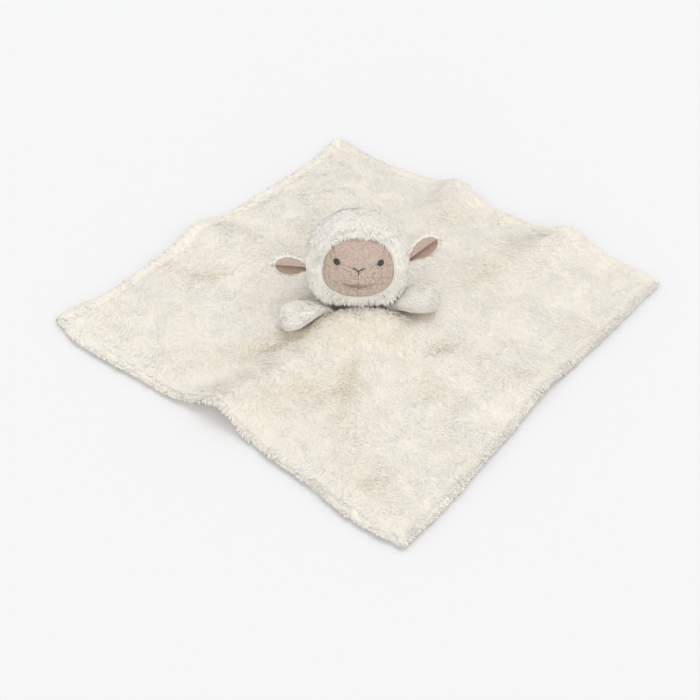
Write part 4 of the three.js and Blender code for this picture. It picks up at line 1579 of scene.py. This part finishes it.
# Heights are in the head's own frame. The nap is combed forwards over the brow, and down at the
# sides and away from the face below it.
hoodComb = {
    "underFace": -0.35, "least": 0.017, "turn": (0.012, -0.012), "rimReach": 0.012,
    "top": (0.004, 0.018), "chin": (-0.020, -0.034), "rest": 0.75,
    "forwards": np.array([0.0, -1.0, -0.3]), "down": np.array([0.0, 0.6, -1.0]),
    "shorterAtRim": 0.35, "longerOnTop": 0.15, "longerAtChin": 0.4, "longerFlared": 0.3,
    "uprightFlared": 0.6, "uprightAtChin": 0.4,
}
armComb = {"layout": 0.09, "under": -0.85, "down": np.array([0.0, 0.0, -0.5])}
earComb = {
    "rimShare": 0.78, "tip": 0.0022, "along": 0.012, "back": 0.002, "front": (0.45, -0.1),
    "light": 1.6, "root": 0.8, "longer": 0.4, "rootReach": 0.01,
}


# The part of a direction that lies in the surface there
def alongSurface(direction, normals):
    return unit(direction - normals * np.sum(direction * normals, axis=1, keepdims=True))


def growHood():
    def wanted(centres, normals):
        facing = np.sum((normals @ headTurn) * unit(intoHead(centres)), axis=1)
        return (facing > hoodComb["underFace"]) & (centres[:, 2] > hoodComb["least"])

    ground, places, normals = groundOf(hood, wanted)
    local = intoHead(places)
    x, y, z = local.T
    turns, polar = np.arctan2(z, x), np.arctan2(np.hypot(x, z), -y)
    lower = smoothstep(*hoodComb["turn"], z)[:, None]
    combed = hoodComb["forwards"] * (1 - lower) + hoodComb["down"] * lower
    near = smoothstep(hoodComb["rimReach"], 0.0, (polar - rimPolar(turns)) * headWidth)
    topRim = near * smoothstep(*hoodComb["top"], z)
    chin = smoothstep(*hoodComb["chin"], z)
    flared = (hoodPuff(unit(local)) - head["puff"]) / head["flare"]
    length = 1.0 - hoodComb["shorterAtRim"] * near * (1 - chin)
    length = length + hoodComb["longerOnTop"] * topRim + hoodComb["longerAtChin"] * chin
    length = length + hoodComb["longerFlared"] * flared
    lean = 1.0 - hoodComb["uprightFlared"] * flared * (1 - near)
    pile = growPile(
        "hoodPile", ground, hoodPile, nap=alongSurface(combed, normals),
        share=hoodComb["rest"] + (1 - hoodComb["rest"]) * near,
        length=length + clumpsAt(places, hoodPile),
        lean=lean - hoodComb["uprightAtChin"] * chin * (1 - flared),
    )
    dress(pile, "fleecePile", "head")


def growArm(label):
    ground = copyOf(armPieces[label], "ground")
    # The paw's own layout: seen from above, in a square round its middle
    uv = ground.data.uv_layers.new(name="flatUV")
    middle = np.array(armMiddle(arms["poses"][label], 0.5)[:2])
    corner = np.zeros(len(ground.data.loops), dtype=np.int32)
    ground.data.loops.foreach_get("vertex_index", corner)
    flat = (placesOf(ground)[corner][:, :2] - middle) / armComb["layout"] + 0.5
    uv.data.foreach_set("uv", flat.ravel().astype(np.float32))
    keepFaces(ground, lambda centres, normals: normals[:, 2] > armComb["under"])
    places, normals = placesOf(ground), normalsOf(ground)
    outward = unit(stack(places[:, 0] - neck["x"], places[:, 1] - neck["y"], 0.0))
    pile = growPile(
        f"arm{label}Pile", ground, armPile,
        nap=alongSurface(outward + armComb["down"], normals),
        length=1.0 + clumpsAt(places, armPile),
    )
    dress(pile, "pawPile", f"arm_{label.lower()}")


def growEar(label):
    root, along, across = earFrame(label)
    facing = np.array([0.0, 1.0, 0.0]) @ headTurn.T
    root, along, across = fromHead(root), along @ headTurn.T, across @ headTurn.T

    # The back, the rim and the tip
    def wanted(centres, normals):
        runs, away = (centres - root) @ along, np.abs((centres - root) @ across)
        share = (runs + ear["rootRadius"]) / (ear["length"] + ear["rootRadius"])
        rim = ear["halfWidth"] * earComb["rimShare"]
        rim = rim * tableAt(earWidthShares, np.clip(share, 0, 1))
        return (normals @ facing > 0.0) | (away > rim) | (runs > ear["length"] - earComb["tip"])

    ground, places, normals = groundOf(earPieces[label][0], wanted)
    sideways = ((places - root) @ across)[:, None] * across
    # Tufts on the rim take their light from the front, and those behind from above
    front = smoothstep(*earComb["front"], normals @ facing)[:, None]
    towards = np.array(earPile["towards"]) - facing * front * earComb["light"]
    combed = along * earComb["along"] + sideways + facing * earComb["back"]
    longer = smoothstep(0.0, earComb["rootReach"], (places - root) @ along)
    pile = growPile(
        f"ear{label}Pile", ground,
        dict(earPile, seed=earPile["seed"] + len(label), towards=towards),
        nap=alongSurface(combed, normals),
        length=earComb["root"] + earComb["longer"] * longer,
    )
    dress(pile, "fleecePile")
    return pile


growHood()
for label in ("Left", "Right"):
    growArm(label)
    for piece in earPieces[label] + [growEar(label)]:
        bendEar(piece, label)
print("stage: fleece grown")


# Topstitching round the hem, on both sides

hemStitch = {
    "length": 0.0027, "pitch": 0.0040, "width": 0.0009, "height": 0.0007, "sunk": 0.0004,
    "nudge": 0.0005,
}


def makeHemStitches(name, heightOf, upwards, replaced):
    side, inset = blanket["side"], blanket["hemInset"]
    edge = side - 2 * inset
    count = round(edge / hemStitch["pitch"])

    # Places of the flat square at a run along one of its four sides
    def onSide(turn, run):
        still = np.full_like(run, inset)
        return [
            (run, still), (side - still, run), (side - run, side - still), (still, side - run),
        ][turn]

    stitches = []
    for turn in range(4):
        for k in range(count):
            start = inset + edge * (k + 0.5) / count - hemStitch["length"] / 2

            def line(share, turn=turn, start=start):
                run = start + share * hemStitch["length"]
                a, b = onSide(turn, run)
                x, y = planOf(a, b)
                z = heightOf(x, y, edgeDistance(a, b)) - upwards * hemStitch["sunk"]
                nextX, nextY = planOf(*onSide(turn, run + hemStitch["nudge"]))
                forward = unit(stack(nextX - x, nextY - y, 0.0))
                upward = np.tile([0.0, 0.0, 1.0], (len(run), 1))
                return stack(x, y, z), np.cross(upward, forward), upward

            stitches.append(layStitch(line, hemStitch))
    seam = joinAll(name, stitches)
    dress(seam, "hemThread", "blanket", [replaced])
    return seam


hemTop = makeHemStitches("hemStitchesTop", topHeight, 1, "hem_needle_thread")
hemUnder = makeHemStitches("hemStitchesUnder", bottomHeight, -1, "hem_bobbin_thread")
print("stage: hem stitched")


# What stays from the frame: the head's filling and the neck's pieces. Of these only the rim
# of the patch and its ring of thread show, low down behind the head.

frameFinishes = {
    "neck_patch": "backing", "neck_disc": "backing", "neck_seam_thread": "hemThread",
    "head_filling": "filling",
}
for name, finish in frameFinishes.items():
    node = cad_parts[name]
    wear(bpy.data.objects[node] if isinstance(node, str) else node, finish)

bpy.data.objects.remove(stitchModel)
bpy.data.objects.remove(tuftModel)
